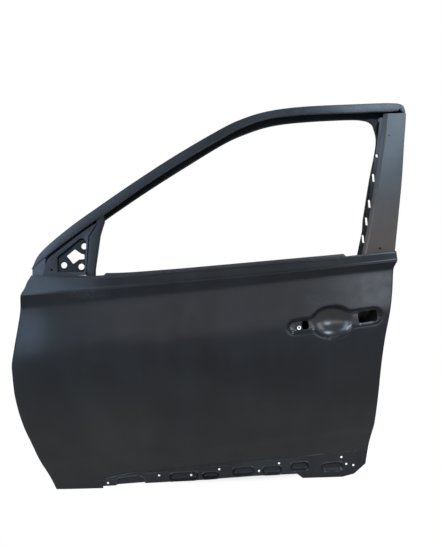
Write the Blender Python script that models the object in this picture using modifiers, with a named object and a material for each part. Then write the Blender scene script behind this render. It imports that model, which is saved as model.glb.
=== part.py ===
"""Front door shell of a car, bare and unpainted but for its dip coat: left side, no trim, glass or lock.

Metres, +Z up. The front of the car is at -X and its outside at -Y. All shapes are worked out in door
axes: X runs back from the foremost point of the skin, Y inwards from its proudest line, and Z up from
the foot of the door. One empty then carries every piece, so that the world's origin is the centre of
the upper hinge face.
"""

import math

import bmesh
import bpy
import numpy as np
from mathutils import Vector

# Driving dimensions
SKIN_LENGTH = 1.149
BELT_HEIGHT = 0.697
FRAME_HEIGHT = 0.445
INNER_FACE_Y = 0.118

# Sheet and joints
SHEET = 0.0008
HEAVY_SHEET = 0.0020
SEAM = 0.0004
HEM_CLEARANCE = 0.0008
HEM_WIDTH = 0.013
FLANGE_WIDTH = 0.016
CUT_OVERRUN = 0.030

# Plan curvature of skin and frame, as seen from above
PLAN_BOW = 0.008
FRONT_TURN = 0.010
REAR_TURN = 0.003
FRONT_TURN_SHARE = 0.15
REAR_TURN_SHARE = 0.10

# Skin: edges in side view, as (share of the belt height, share of the skin length)
FRONT_EDGE_SHARES = (
    (-0.012, 0.088), (0.034, 0.078), (0.120, 0.056), (0.211, 0.037), (0.294, 0.019), (0.377, 0.007),
    (0.459, 0.001), (0.552, 0.000), (0.644, 0.010), (0.722, 0.021), (0.798, 0.031), (0.869, 0.037),
    (0.901, 0.048), (0.925, 0.054), (0.950, 0.064),
)
REAR_EDGE_SHARES = (
    (-0.012, 0.921), (0.126, 0.925), (0.215, 0.936), (0.362, 0.947), (0.529, 0.957), (0.626, 0.965),
    (0.769, 0.981), (0.854, 0.987), (0.923, 0.990), (0.965, 0.999), (1.000, 1.000),
)

# Skin: heights of its lines as shares of the belt height, at shares of the length
LINE_STATION_SHARES = (0.00, 0.14, 0.24, 0.36, 0.55, 0.73, 0.86, 1.00)
LINE_HEIGHT_SHARES = {
    "foot": (-0.010, -0.010, -0.010, -0.010, -0.010, -0.010, -0.010, -0.010),
    "sill": (0.066, 0.080, 0.086, 0.090, 0.126, 0.151, 0.168, 0.186),
    "tuck": (0.160, 0.165, 0.170, 0.180, 0.196, 0.228, 0.242, 0.256),
    "flank": (0.340, 0.350, 0.370, 0.380, 0.400, 0.430, 0.450, 0.470),
    "bulge": (0.560, 0.590, 0.650, 0.636, 0.657, 0.689, 0.720, 0.743),
    "valley": (0.811, 0.824, 0.838, 0.850, 0.870, 0.893, 0.910, 0.927),
    "crease": (0.871, 0.881, 0.890, 0.903, 0.918, 0.935, 0.949, 0.961),
    "belt": (0.950, 0.941, 0.936, 0.942, 0.957, 0.972, 0.983, 1.000),
}
LINE_NAMES = ("foot", "sill", "tuck", "flank", "bulge", "valley", "crease", "belt")

# Skin: how far each line lies inboard of the proudest one
FOOT_DEPTH = 0.044
SILL_DEPTH = 0.036
TUCK_DEPTH = 0.018
FLANK_DEPTH = 0.006
BULGE_DEPTH = 0.000
VALLEY_DEPTH = 0.009
CREASE_DEPTH = 0.000
BELT_DEPTH = 0.021
LINE_DEPTHS = (
    FOOT_DEPTH, SILL_DEPTH, TUCK_DEPTH, FLANK_DEPTH, BULGE_DEPTH, VALLEY_DEPTH, CREASE_DEPTH, BELT_DEPTH,
)
ROW_STEPS = (1, 2, 3, 3, 3, 2, 2)
COLUMN_SHARES = (
    0.045, 0.08, 0.12, 0.17, 0.22, 0.28, 0.34, 0.41, 0.48, 0.55, 0.62, 0.69, 0.75, 0.81, 0.87, 0.92, 0.96,
)
BELT_LIP = 0.006

# Skin: its lower edge, where the sill cladding starts, as (share of length, share of belt height)
CLADDING_LINE_SHARES = (
    (0.216, 0.030), (0.222, 0.038), (0.299, 0.062), (0.388, 0.071), (0.583, 0.096), (0.733, 0.109), (0.890, 0.125),
)

# Handle scoop in the skin
SCOOP_X_SHARE = 0.830
SCOOP_Z_SHARE = 0.713
BOWL_LENGTH = 0.128
BOWL_HEIGHT = 0.098
BOWL_DEPTH = 0.027
BOWL_RAISE = 0.010
GRIP_FRONT_RADIUS = 0.016
GRIP_REAR_RADIUS = 0.023
GRIP_FRONT_REACH = 0.112
GRIP_REAR_REACH = 0.121
GRIP_SLOPE = 0.105
GRIP_DEPTH = 0.009
FRONT_APERTURE_REACH = 0.089
FRONT_APERTURE_LENGTH = 0.040
FRONT_APERTURE_HEIGHT = 0.026
REAR_APERTURE_REACH = 0.105
REAR_APERTURE_LENGTH = 0.056
REAR_APERTURE_HEIGHT = 0.034
APERTURE_ROUND = 0.006

# Inner panel
WALL_START_Y = 0.046
WALL_ROUND = 0.010
HINGE_FACE_X = 0.058
LATCH_FACE_SETBACK = 0.081
LATCH_FACE_X = SKIN_LENGTH - LATCH_FACE_SETBACK
FRONT_WALL_SHARES = ((0.00, 0.100), (0.140, 0.082), (0.215, None), (0.815, None), (0.868, 0.109), (1.000, 0.109))
REAR_WALL_SHARES = ((0.00, 0.905), (0.190, 0.911), (0.380, None), (0.675, None), (0.730, 0.951), (1.000, 0.981))
SUMP_RISE = 0.055
INNER_FOOT_SHARES = (
    (0.090, -0.004), (0.230, -0.001), (0.335, 0.007), (0.475, 0.013), (0.613, 0.023), (0.735, 0.025),
    (0.750, 0.004), (0.856, 0.002), (0.896, 0.018), (0.918, 0.060),
)

# Inner panel: notch in its front top corner, for the foot of the mirror corner
MIRROR_NOTCH_SHARES = ((0.084, 0.932), (0.114, 0.932), (0.114, 1.000), (0.084, 1.000))

# Inner panel: openings in its trim-side face, as shares of length and belt height
SERVICE_HOLE_SHARES = (
    ((0.185, 0.500), (0.440, 0.540), (0.440, 0.790), (0.250, 0.790), (0.185, 0.700)),
    ((0.510, 0.540), (0.700, 0.540), (0.718, 0.600), (0.718, 0.790), (0.510, 0.800)),
    ((0.400, 0.260), (0.830, 0.280), (0.830, 0.430), (0.440, 0.430), (0.400, 0.390)),
)
SERVICE_HOLE_ROUND = 0.028
SPEAKER_RADIUS = 0.078
SPEAKER_X_SHARE = 0.250
SPEAKER_Z_SHARE = 0.325
CLIP_HOLE_RADIUS = 0.004
CLIP_HOLE_SHARES = (
    (0.135, 0.600), (0.475, 0.490), (0.475, 0.700), (0.890, 0.500), (0.885, 0.300), (0.150, 0.240),
    (0.365, 0.330), (0.905, 0.720),
)

# Inner panel: stampings in the band that the cladding covers
POCKET_DEPTH = 0.009
POCKET_HEIGHT = 0.021
POCKET_ROUND = 0.0085
POCKET_SLOPE = 0.045
POCKET_SHARES = ((0.432, 0.031), (0.591, 0.045), (0.668, 0.045), (0.742, 0.058), (0.829, 0.050), (0.5035, 0.032))
POCKET_LENGTH_SHARES = (0.073, 0.054, 0.048, 0.044, 0.054, 0.040)
POCKET_SIZE_SHARES = (1.00, 1.00, 1.00, 1.00, 1.00, 0.72)
DOME_SHARES = ((0.2680, 0.0040), (0.3060, 0.0040))
DOME_FRONT_RADIUS = 0.020
DOME_REAR_RADIUS = 0.024
BAND_HOLE_RADIUS = 0.0042
BAND_HOLE_SHARES = (
    (0.228, 0.013), (0.366, 0.042), (0.527, 0.061), (0.687, 0.078), (0.854, 0.095), (0.451, 0.032), (0.633, 0.046),
    (0.867, 0.062), (0.886, 0.055),
)

# Window frame: one station for each corner of its shape, front foot to rear foot.
# Shares of length, and of the frame's height above the belt.
FRAME_FOOT_Y = 0.0285
FRAME_KINK_SHARE = 0.940
TUMBLEHOME_SLOPE = 0.36
STRIP_OUTLINE_SHARES = (
    (0.062, -0.040), (0.086, 0.067), (0.158, 0.220), (0.245, 0.371), (0.337, 0.524), (0.436, 0.679),
    (0.547, 0.836), (0.613, 0.915), (0.688, 0.969), (0.783, 0.994), (0.923, 1.000), (1.019, 1.000), (1.056, 0.985),
)
STRIP_WIDTH_SHARES = (0.15, 0.80, 1.00, 1.06, 0.98, 0.98, 1.00, 0.92, 0.86, 0.92, 1.00, 1.00, 0.85)
STRIP_WIDTH = 0.029
STRIP_WALL = 0.010
STRIP_RETURN = 0.014
HOOP_OUTLINE_SHARES = (
    (0.158, 0.220), (0.245, 0.371), (0.337, 0.524), (0.436, 0.679), (0.547, 0.836), (0.613, 0.915), (0.688, 0.969),
    (0.783, 0.994), (0.923, 1.000), (1.019, 1.000), (1.055, 0.980), (1.065, 0.926), (1.052, 0.708), (1.037, 0.463),
    (1.017, 0.196),
)
OPENING_SHARES = (
    (0.181, 0.142), (0.267, 0.288), (0.360, 0.440), (0.459, 0.591), (0.569, 0.751), (0.634, 0.820), (0.701, 0.867),
    (0.788, 0.888), (0.914, 0.894), (0.957, 0.883), (0.973, 0.863), (0.980, 0.829), (0.983, 0.715), (0.956, 0.463),
    (0.930, 0.196),
)
HOOP_START = 0.005
HOOP_DEPTH = 0.032
HOOP_LIP = 0.010
HOOP_LEG_END_SHARE = 0.880
HOOP_REAR_LEG_END_SHARE = 0.840
HOOP_FRONT_LEG_WIDTH = 0.044
HOOP_REAR_LEG_WIDTH = 0.070

# Plate over the rear pillar
PLATE_REAR_FOOT_SHARE = 1.002
PLATE_STATIONS = 4
PLATE_FRONT_SHARES = ((1.016, 0.926), (0.999, 0.708), (0.976, 0.463), (0.950, 0.196), (0.928, 0.000))
PLATE_FRONT_WALL = 0.014
PLATE_TAIL = 0.040
DRAIN_HOLE_RADIUS = 0.0032
PLATE_HOLE_SHARES = ((0.9626, 0.020), (1.0139, 0.771))
HEADER_HOLE_SHARES = ((0.8225, 0.972),)
MIRROR_PLATE_HOLE_SHARES = ((0.1150, -0.049),)

# Mirror corner: matched rings, as shares of length and of the frame's height above the belt
MIRROR_RIM_SHARES = (
    (0.129, 0.000), (0.129, 0.031), (0.188, 0.148), (0.1965, 0.144), (0.2000, 0.133), (0.2020, 0.126), (0.2035, 0.117),
    (0.200, -0.063), (0.196, -0.072), (0.131, -0.067),
)
MIRROR_FRONT_SHARE = 0.1005
MIRROR_FOOT_SHARE = 0.0915
MIRROR_LOW_SHARE = -0.090
MIRROR_PLATE_DEPTH = 0.0010
MIRROR_RIM = 0.0090
REINFORCEMENT_SHEET = 0.0012
FOOT_PLATE_FRONT_SHARE = 0.0705
FOOT_PLATE_FLANGE = 0.006
MIRROR_HOLE_RADIUS = 0.0088
MIRROR_HOLE_SHARES = ((0.1975, 0.094), (0.1455, -0.025), (0.1905, -0.038))
MIRROR_STAR_SHARES = (
    (0.173, 0.076), (0.189, 0.047), (0.198, 0.040), (0.198, 0.011), (0.184, 0.009), (0.169, -0.018), (0.152, 0.034),
)

# Glass channels
CHANNEL_DEPTH = 0.018
CHANNEL_WIDTH = 0.026
REAR_CHANNEL_WIDTH = 0.022
CHANNEL_START = 0.0055
FRONT_CHANNEL_SHARES = ((0.230, 0.249), (0.210, 0.164), (0.2037, -0.065), (0.186, -0.735))
REAR_CHANNEL_DROP_SHARES = (0.838, -0.740)
CHANNEL_SLOT_WIDTH = 0.006
CHANNEL_SLOT_LENGTH = 0.022
CHANNEL_SLOT_SHARES = (0.485, 0.310, 0.195, 0.080)
CHANNEL_BRACKET_HEIGHT = 0.032
CHANNEL_BRACKET_FOOT = 0.030
CHANNEL_BRACKET_STEP = 0.005

# Belt reinforcements
BELT_BEAM_SPAN_SHARES = (0.236, 0.885)
BELT_BEAM_RAISED_SHARES = (0.256, 0.864)
BELT_BEAM_RAISE = 0.008
BELT_BEAM_LOWER_SHARE = 0.25
BELT_BEAM_UPPER_SHARE = 0.55
INNER_BELT_HEIGHT = 0.072
INNER_BELT_FLANGE = 0.014
INNER_BELT_DEPTH = 0.016
INNER_BELT_RUN = 0.006
INNER_BELT_FRONT_SHARE = 0.150
INNER_BELT_REAR_SHARE = 0.955

# Side impact beam
BEAM_RADIUS = 0.015
BEAM_WALL = 0.002
BEAM_Y = 0.034
BEAM_FRONT_Z_SHARE = 0.495
BEAM_REAR_Z_SHARE = 0.440
BEAM_END_GAP = 0.022
BEAM_BRACKET_REACH = 0.085
BEAM_BRACKET_HEIGHT = 0.044
BEAM_BRACKET_FLANGE = 0.009
PAD_LENGTH = 0.060
PAD_HEIGHT = 0.016
PAD_SHARES = (0.30, 0.52, 0.74)

# Hinges, check arm and latch
UPPER_HINGE_Z_SHARE = 0.717
LOWER_HINGE_Z_SHARE = 0.290
FIXING_Y = 0.084
HINGE_PITCH = 0.044
HINGE_HOLE_RADIUS = 0.0045
HINGE_PLATE_HEIGHT = 0.092
PLATE_START_Y = 0.063
PLATE_LEG = 0.036
CHECK_ARM_Z_SHARE = 0.495
CHECK_PLATE_HEIGHT = 0.078
CHECK_SLOT_HEIGHT = 0.022
CHECK_SLOT_WIDTH = 0.014
CHECK_PITCH = 0.052
CHECK_HOLE_RADIUS = 0.0035
LATCH_Z_SHARE = 0.555
LATCH_PLATE_HEIGHT = 0.104
LATCH_MOUTH_WIDTH = 0.026
LATCH_MOUTH_HEIGHT = 0.022
LATCH_MOUTH_Y = 0.090
LATCH_PITCH = 0.056
LATCH_HOLE_RADIUS = 0.0035
NUT_RADIUS = 0.008
NUT_HEIGHT = 0.007

# Handle reinforcement
REINFORCEMENT_LENGTH = 0.300
REINFORCEMENT_HEIGHT = 0.112
REINFORCEMENT_SHARES = (
    (-0.500, -0.500), (0.390, -0.460), (0.455, -0.200), (0.455, 0.300), (0.400, 0.500), (-0.500, 0.500),
)
REINFORCEMENT_ROUND = 0.012
BOWL_CLEARANCE = 0.003
BUSH_RADIUS = 0.0060
BUSH_BORE = 0.0030
BUSH_HEIGHT = 0.0055
BUSH_REACH = 0.098
BUSH_DROP = 0.0055

ROUND_SEGMENTS = 20
SMALL_SEGMENTS = 12
CURVE_SEGMENTS = 3
DIFFERENCE_STEP_SHARE = 0.002
HEM_RADIUS = SHEET + HEM_CLEARANCE + SHEET / 2
INNER_DEPTH = SHEET + HEM_CLEARANCE
SQUARE = ((-1, -1), (1, -1), (1, 1), (-1, 1))


def smooth_between(knots, values, where):
    """Monotone cubic through the knots, so that a line never swings past its own points."""
    knots = np.asarray(knots, float)
    values = np.asarray(values, float)
    where = min(max(where, knots[0]), knots[-1])
    steps = np.diff(knots)
    slopes = np.diff(values) / steps
    tangents = np.zeros(len(knots))
    for i in range(1, len(knots) - 1):
        if slopes[i - 1] * slopes[i] > 0:
            ahead = 2 * steps[i] + steps[i - 1]
            behind = steps[i] + 2 * steps[i - 1]
            tangents[i] = (ahead + behind) / (ahead / slopes[i - 1] + behind / slopes[i])
    tangents[0] = slopes[0]
    tangents[-1] = slopes[-1]
    k = min(int(np.searchsorted(knots, where, side="right")) - 1, len(knots) - 2)
    t = (where - knots[k]) / steps[k]
    square, cube = t * t, t * t * t
    return float(
        (2 * cube - 3 * square + 1) * values[k] + (cube - 2 * square + t) * steps[k] * tangents[k]
        + (3 * square - 2 * cube) * values[k + 1] + (cube - square) * steps[k] * tangents[k + 1]
    )


def plan_bow(x):
    """How far the side of the door turns in at this place along it."""
    share = min(max(x / SKIN_LENGTH, 0.0), 1.0)
    front = max(0.0, 1.0 - share / FRONT_TURN_SHARE)
    rear = max(0.0, 1.0 - (1.0 - share) / REAR_TURN_SHARE)
    return PLAN_BOW * (2 * share - 1) ** 2 + FRONT_TURN * front**2 + REAR_TURN * rear**2


def front_edge(z):
    heights, lengths = zip(*FRONT_EDGE_SHARES)
    return SKIN_LENGTH * smooth_between(heights, lengths, z / BELT_HEIGHT)


def rear_edge(z):
    heights, lengths = zip(*REAR_EDGE_SHARES)
    return SKIN_LENGTH * smooth_between(heights, lengths, z / BELT_HEIGHT)


def line_height(name, share):
    return BELT_HEIGHT * smooth_between(LINE_STATION_SHARES, LINE_HEIGHT_SHARES[name], share)


def skin_share(x, z):
    """Share of the way from the skin's front edge to its rear edge, at this height."""
    front = front_edge(z)
    return (x - front) / (rear_edge(z) - front)


def skin_y(x, z):
    """Depth of the skin's outer surface."""
    share = min(max(skin_share(x, z), 0.0), 1.0)
    heights = [line_height(name, share) for name in LINE_NAMES]
    crease = LINE_NAMES.index("crease")
    if z > heights[crease]:
        depth = smooth_between(heights[crease:], LINE_DEPTHS[crease:], z)
    else:
        depth = smooth_between(heights[: crease + 1], LINE_DEPTHS[: crease + 1], z)
    return depth + plan_bow(x)


def skin_inward(x, z):
    """Unit vector into the car, square to the skin."""
    step = DIFFERENCE_STEP_SHARE * SKIN_LENGTH
    along = (skin_y(x + step, z) - skin_y(x - step, z)) / (2 * step)
    up = (skin_y(x, z + step) - skin_y(x, z - step)) / (2 * step)
    return Vector((-along, 1.0, -up)).normalized()


def skin_point(x, z, depth=0.0):
    return Vector((x, skin_y(x, z), z)) + skin_inward(x, z) * depth


def row_heights(share):
    """Heights of the skin's rows at one share of its length: each line, and even steps between lines."""
    heights = []
    for name, above, steps in zip(LINE_NAMES, LINE_NAMES[1:], ROW_STEPS):
        low, high = line_height(name, share), line_height(above, share)
        heights += [low + (high - low) * step / steps for step in range(steps)]
    return heights + [line_height("belt", share)]


def skin_grid(columns, depth):
    """Points on the skin, column by column. A column is (share, inset from the front edge, from the rear)."""
    grid = []
    for share, front_inset, rear_inset in columns:
        rise = []
        for z in row_heights(share):
            front, rear = front_edge(z), rear_edge(z)
            x = front + share * (rear - front) + front_inset - rear_inset
            rise.append(skin_point(x, z, depth))
        grid.append(rise)
    return grid


def frame_y(x, z):
    """Depth of the frame's outer face: upright to the belt, then leaning in."""
    return FRAME_FOOT_Y + TUMBLEHOME_SLOPE * max(0.0, z - FRAME_KINK_SHARE * BELT_HEIGHT) + plan_bow(x)


def frame_place(shares):
    """Side-view place of a point given in shares of the length and of the frame's height."""
    along, up = shares
    return along * SKIN_LENGTH, BELT_HEIGHT + up * FRAME_HEIGHT


def frame_point(place, depth):
    x, z = place
    return Vector((x, frame_y(x, z) + depth, z))


def curve_through(places, segments=CURVE_SEGMENTS):
    """Smooth side-view curve through the places (Catmull-Rom)."""
    points = [Vector(place) for place in places]
    padded = [2 * points[0] - points[1]] + points + [2 * points[-1] - points[-2]]
    curve = []
    for a, b, c, d in zip(padded, padded[1:], padded[2:], padded[3:]):
        for step in range(segments):
            t = step / segments
            curve.append(b + ((c - a) * t + (2 * a - 5 * b + 4 * c - d) * t * t + (3 * b - a - 3 * c + d) * t**3) / 2)
    return [tuple(point) for point in curve] + [tuple(points[-1])]


def offset_line(places, distances):
    """The line moved to its right-hand side by a distance at each point."""
    points = [Vector(place) for place in places]
    if not hasattr(distances, "__len__"):
        distances = [distances] * len(points)
    moved = []
    for i, point in enumerate(points):
        before = (point - points[i - 1]).normalized() if i else None
        after = (points[i + 1] - point).normalized() if i + 1 < len(points) else None
        turns = [Vector((way.y, -way.x)) for way in (before, after) if way]
        middle = sum(turns, Vector((0.0, 0.0))).normalized()
        moved.append(tuple(point + middle * distances[i] / middle.dot(turns[0])))
    return moved


def interpolated(values, segments=CURVE_SEGMENTS):
    """The values at the points that curve_through makes."""
    return list(np.interp(np.arange((len(values) - 1) * segments + 1) / segments, np.arange(len(values)), values))


def rounded(corners, radius, steps=CURVE_SEGMENTS):
    """Closed outline with each corner turned at the radius."""
    outline = []
    count = len(corners)
    for i, corner in enumerate(corners):
        point = Vector(corner)
        to_last = (Vector(corners[i - 1]) - point).normalized()
        to_next = (Vector(corners[(i + 1) % count]) - point).normalized()
        half = to_last.angle(to_next) / 2
        start = point + to_last * radius / math.tan(half)
        end = point + to_next * radius / math.tan(half)
        centre = point + (to_last + to_next).normalized() * radius / math.sin(half)
        for step in range(steps + 1):
            spoke = (start - centre).lerp(end - centre, step / steps).normalized() * radius
            outline.append(tuple(centre + spoke))
    return outline


def slot_outline(centre, length, height, radius, lean=0.0):
    """Rounded rectangle, leaning by a slope along its length."""
    x, z = centre
    along = Vector((1.0, lean)).normalized()
    across = Vector((-along.y, along.x))
    corners = []
    for i, j in SQUARE:
        corners.append(tuple(Vector((x, z)) + along * i * length / 2 + across * j * height / 2))
    return rounded(corners, radius)


def capsule(front, front_radius, rear, rear_radius, steps=8):
    """Outline round two circles of unlike radius, anticlockwise in side view."""
    front, rear = Vector(front), Vector(rear)
    way = rear - front
    lean = math.atan2(way.y, way.x)
    spread = math.acos((front_radius - rear_radius) / way.length)
    outline = []
    for step in range(steps + 1):
        angle = lean - spread + 2 * spread * step / steps
        outline.append((rear.x + rear_radius * math.cos(angle), rear.y + rear_radius * math.sin(angle)))
    for step in range(steps + 1):
        angle = lean + spread + 2 * (math.pi - spread) * step / steps
        outline.append((front.x + front_radius * math.cos(angle), front.y + front_radius * math.sin(angle)))
    return outline


for old in list(bpy.data.objects):
    bpy.data.objects.remove(old, do_unlink=True)
parts = bpy.data.collections.new("car_door_shell")
cutters = bpy.data.collections.new("cutters")
bpy.context.scene.collection.children.link(parts)
bpy.context.scene.collection.children.link(cutters)
upper_hinge_height = UPPER_HINGE_Z_SHARE * BELT_HEIGHT
door_axes = bpy.data.objects.new("door_axes", None)
door_axes.location = (-HINGE_FACE_X, -FIXING_Y, -upper_hinge_height)
parts.objects.link(door_axes)


def material(name, colour, roughness, metallic):
    made = bpy.data.materials.new(name)
    made.use_nodes = True
    shader = made.node_tree.nodes["Principled BSDF"]
    shader.inputs["Base Color"].default_value = (*colour, 1.0)
    shader.inputs["Roughness"].default_value = roughness
    shader.inputs["Metallic"].default_value = metallic
    return made


DIP_COAT = material("dip_coat", (0.022, 0.024, 0.028), 0.38, 0.10)
DIP_COAT_WARM = material("dip_coat_rear_pillar", (0.034, 0.030, 0.028), 0.45, 0.10)
DIP_COAT_INSIDE = material("dip_coat_inside", (0.018, 0.019, 0.021), 0.50, 0.10)
ZINC = material("zinc_plate", (0.62, 0.62, 0.60), 0.35, 0.90)
MASTIC = material("mastic", (0.08, 0.08, 0.075), 0.85, 0.00)


def add_object(name, mesh, coat=None):
    """A piece when it has a material, and otherwise a cutter that is never rendered."""
    made = bpy.data.objects.new(name, mesh)
    made.parent = door_axes
    if coat:
        mesh.materials.append(coat)
        parts.objects.link(made)
    else:
        made.hide_render = True
        made.display_type = "WIRE"
        cutters.objects.link(made)
    return made


def mesh_from(name, build):
    bm = bmesh.new()
    build(bm)
    bmesh.ops.remove_doubles(bm, verts=bm.verts, dist=SHEET / 100)
    bmesh.ops.recalc_face_normals(bm, faces=bm.faces)
    mesh = bpy.data.meshes.new(name)
    bm.to_mesh(mesh)
    bm.free()
    return mesh


def turned(bm, faces_to):
    """Faces made to agree, with most of their area turned to the given way."""
    bmesh.ops.remove_doubles(bm, verts=bm.verts, dist=SHEET / 100)
    bmesh.ops.recalc_face_normals(bm, faces=bm.faces)
    toward = sum((face.normal * face.calc_area() for face in bm.faces), Vector())
    if toward.dot(Vector(faces_to)) < 0:
        bmesh.ops.reverse_faces(bm, faces=bm.faces)


def halves(a, b, c, d):
    """Four corners as two triangles, split on the diagonal that rises towards +X, so that nested sheets agree."""
    if (c.co.x - a.co.x) * (c.co.z - a.co.z) >= (d.co.x - b.co.x) * (d.co.z - b.co.z):
        return (a, b, c), (a, c, d)
    return (a, b, d), (b, c, d)


def sheet_mesh(name, lines, faces_to, last_face=None):
    """Open surface lofted through matched lines of points, turned so that most of it faces one way."""
    bm = bmesh.new()
    rows = [[bm.verts.new(point) for point in line] for line in lines]
    for line, following in zip(rows, rows[1:]):
        for corners in zip(line, line[1:], following[1:], following):
            for triangle in halves(*corners):
                bm.faces.new(triangle)
    if last_face:
        bm.faces.new(last_face(rows))
    turned(bm, faces_to)
    mesh = bpy.data.meshes.new(name)
    bm.to_mesh(mesh)
    bm.free()
    return mesh


def flat_sheet_mesh(name, outline, faces_to):
    bm = bmesh.new()
    bm.faces.new([bm.verts.new(point) for point in outline])
    turned(bm, faces_to)
    mesh = bpy.data.meshes.new(name)
    bm.to_mesh(mesh)
    bm.free()
    return mesh


def solid_sheet(name, mesh, coat, thickness):
    made = add_object(name, mesh, coat)
    shell = made.modifiers.new("sheet", "SOLIDIFY")
    shell.thickness = thickness
    shell.offset = -1.0
    shell.use_even_offset = True
    return made


def add_sheet(name, lines, faces_to, coat, thickness=SHEET, last_face=None):
    """Stamped piece: the lofted surface is the side that faces_to names, and the metal lies behind it."""
    return solid_sheet(name, sheet_mesh(name, lines, faces_to, last_face), coat, thickness)


def prism_mesh(name, outline, low, high, axis="Y"):
    """Prism on a closed outline. Its two axes are X and Z, or Y and Z for a prism along X."""
    def build(bm):
        add_prism(bm, outline, low, high, axis)
    return mesh_from(name, build)


def add_prism(bm, outline, low, high, axis):
    verts = [bm.verts.new((a, low, b) if axis == "Y" else (low, a, b)) for a, b in outline]
    face = bm.faces.new(verts)
    grown = bmesh.ops.extrude_face_region(bm, geom=[face])["geom"]
    way = Vector((0.0, high - low, 0.0)) if axis == "Y" else Vector((high - low, 0.0, 0.0))
    bmesh.ops.translate(bm, vec=way, verts=[item for item in grown if isinstance(item, bmesh.types.BMVert)])


def extruded(name, outline, low, high, axis="Y"):
    return add_object(name, prism_mesh(name, outline, low, high, axis))


def extruded_group(name, outlines, low, high, axis="Y"):
    """Several prisms that don't touch, as one cutter."""
    def build(bm):
        for outline in outlines:
            add_prism(bm, outline, low, high, axis)
    return add_object(name, mesh_from(name, build))


def circle_outline(centre, radius, segments=SMALL_SEGMENTS):
    turns = [2 * math.pi * step / segments for step in range(segments)]
    return [(centre[0] + radius * math.cos(turn), centre[1] + radius * math.sin(turn)) for turn in turns]


def boolean(piece, tool, operation="DIFFERENCE"):
    change = piece.modifiers.new(tool.name, "BOOLEAN")
    change.operation = operation
    change.object = tool
    return change


def cut(piece, outlines, low, high, axis="Y", label="holes"):
    """Cuts the outlines, which don't touch each other, through the piece between two depths."""
    boolean(piece, extruded_group(f"{label}_{piece.name}", outlines, low, high, axis))


def folded(name, section, start, end, coat, thickness):
    """Folded bracket: its section, in X and Y, runs straight up. Thickness is signed: to the section's left."""
    if thickness < 0:
        section = section[::-1]
    bm = bmesh.new()
    rows = [[bm.verts.new((x, y, z)) for x, y in section] for z in (start, end)]
    for a, b, c, d in zip(rows[0], rows[0][1:], rows[1][1:], rows[1]):
        bm.faces.new((a, b, c, d))
    mesh = bpy.data.meshes.new(name)
    bm.to_mesh(mesh)
    bm.free()
    return solid_sheet(name, mesh, coat, abs(thickness))


# Skin


def skin_columns():
    edge = HEM_RADIUS
    middle = [(share, 0.0, 0.0) for share in COLUMN_SHARES]
    return [(0.0, edge, 0.0), (0.0, FLANGE_WIDTH, 0.0)] + middle + [(1.0, 0.0, FLANGE_WIDTH), (1.0, 0.0, edge)]


def hem_lines(share):
    """Skin's turned edge, from the end of its inner leaf to its outermost line."""
    inset = (lambda width: (share, width, 0.0)) if share == 0.0 else (lambda width: (share, 0.0, width))
    leaf = skin_grid([inset(HEM_WIDTH), inset(HEM_RADIUS)], 2 * HEM_RADIUS)
    return leaf + skin_grid([inset(0.0)], HEM_RADIUS)


def grip_ends():
    x, z = SCOOP_X_SHARE * SKIN_LENGTH, SCOOP_Z_SHARE * BELT_HEIGHT
    front = (x - GRIP_FRONT_REACH, z - GRIP_SLOPE * GRIP_FRONT_REACH)
    rear = (x + GRIP_REAR_REACH, z + GRIP_SLOPE * GRIP_REAR_REACH)
    return front, rear


def scoop_floor():
    return skin_y(SCOOP_X_SHARE * SKIN_LENGTH, SCOOP_Z_SHARE * BELT_HEIGHT) + GRIP_DEPTH


def scoop_tool(name, growth):
    """Plug of the scoop's shape: a bowl for the fingers and a shallow bar for the grip, grown by a wall."""
    x, z = SCOOP_X_SHARE * SKIN_LENGTH, SCOOP_Z_SHARE * BELT_HEIGHT
    centre_y = skin_y(x, z) - BOWL_RAISE

    def build(bm):
        bmesh.ops.create_uvsphere(bm, u_segments=28, v_segments=14, radius=1.0)
        spread = 1.0 / math.sqrt(1.0 - (BOWL_RAISE / (BOWL_DEPTH + BOWL_RAISE)) ** 2)
        radii = (
            BOWL_LENGTH / 2 * spread + growth, BOWL_DEPTH + BOWL_RAISE + growth, BOWL_HEIGHT / 2 * spread + growth,
        )
        bmesh.ops.scale(bm, vec=radii, verts=bm.verts)
        bmesh.ops.translate(bm, vec=(x, centre_y, z), verts=bm.verts)

    bowl = add_object(name, mesh_from(name, build))
    front, rear = grip_ends()
    outline = capsule(front, GRIP_FRONT_RADIUS + growth, rear, GRIP_REAR_RADIUS + growth)
    bar = extruded(f"{name}_bar", outline, -CUT_OVERRUN, scoop_floor() + growth)
    boolean(bowl, bar, "UNION")
    return bowl


def outside_air(name, depth):
    """Everything outboard of a depth under the skin, to trim a plug flush inside a sheet that lies there."""
    grid = skin_grid(skin_columns(), depth)

    def build(bm):
        near = [[bm.verts.new(point) for point in line] for line in grid]
        far = [[bm.verts.new((point.x, -CUT_OVERRUN * 2, point.z)) for point in line] for line in grid]
        for rows in (near, far):
            for line, following in zip(rows, rows[1:]):
                for a, b, c, d in zip(line, line[1:], following[1:], following):
                    bm.faces.new((a, b, c, d))
        sides = (
            (near[0], far[0]), (near[-1], far[-1]),
            ([line[0] for line in near], [line[0] for line in far]),
            ([line[-1] for line in near], [line[-1] for line in far]),
        )
        for inner, outer in sides:
            for a, b, c, d in zip(inner, inner[1:], outer[1:], outer):
                bm.faces.new((a, b, c, d))

    return add_object(name, mesh_from(name, build))


def cladding_line():
    return [(along * SKIN_LENGTH, up * BELT_HEIGHT) for along, up in CLADDING_LINE_SHARES]


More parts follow.
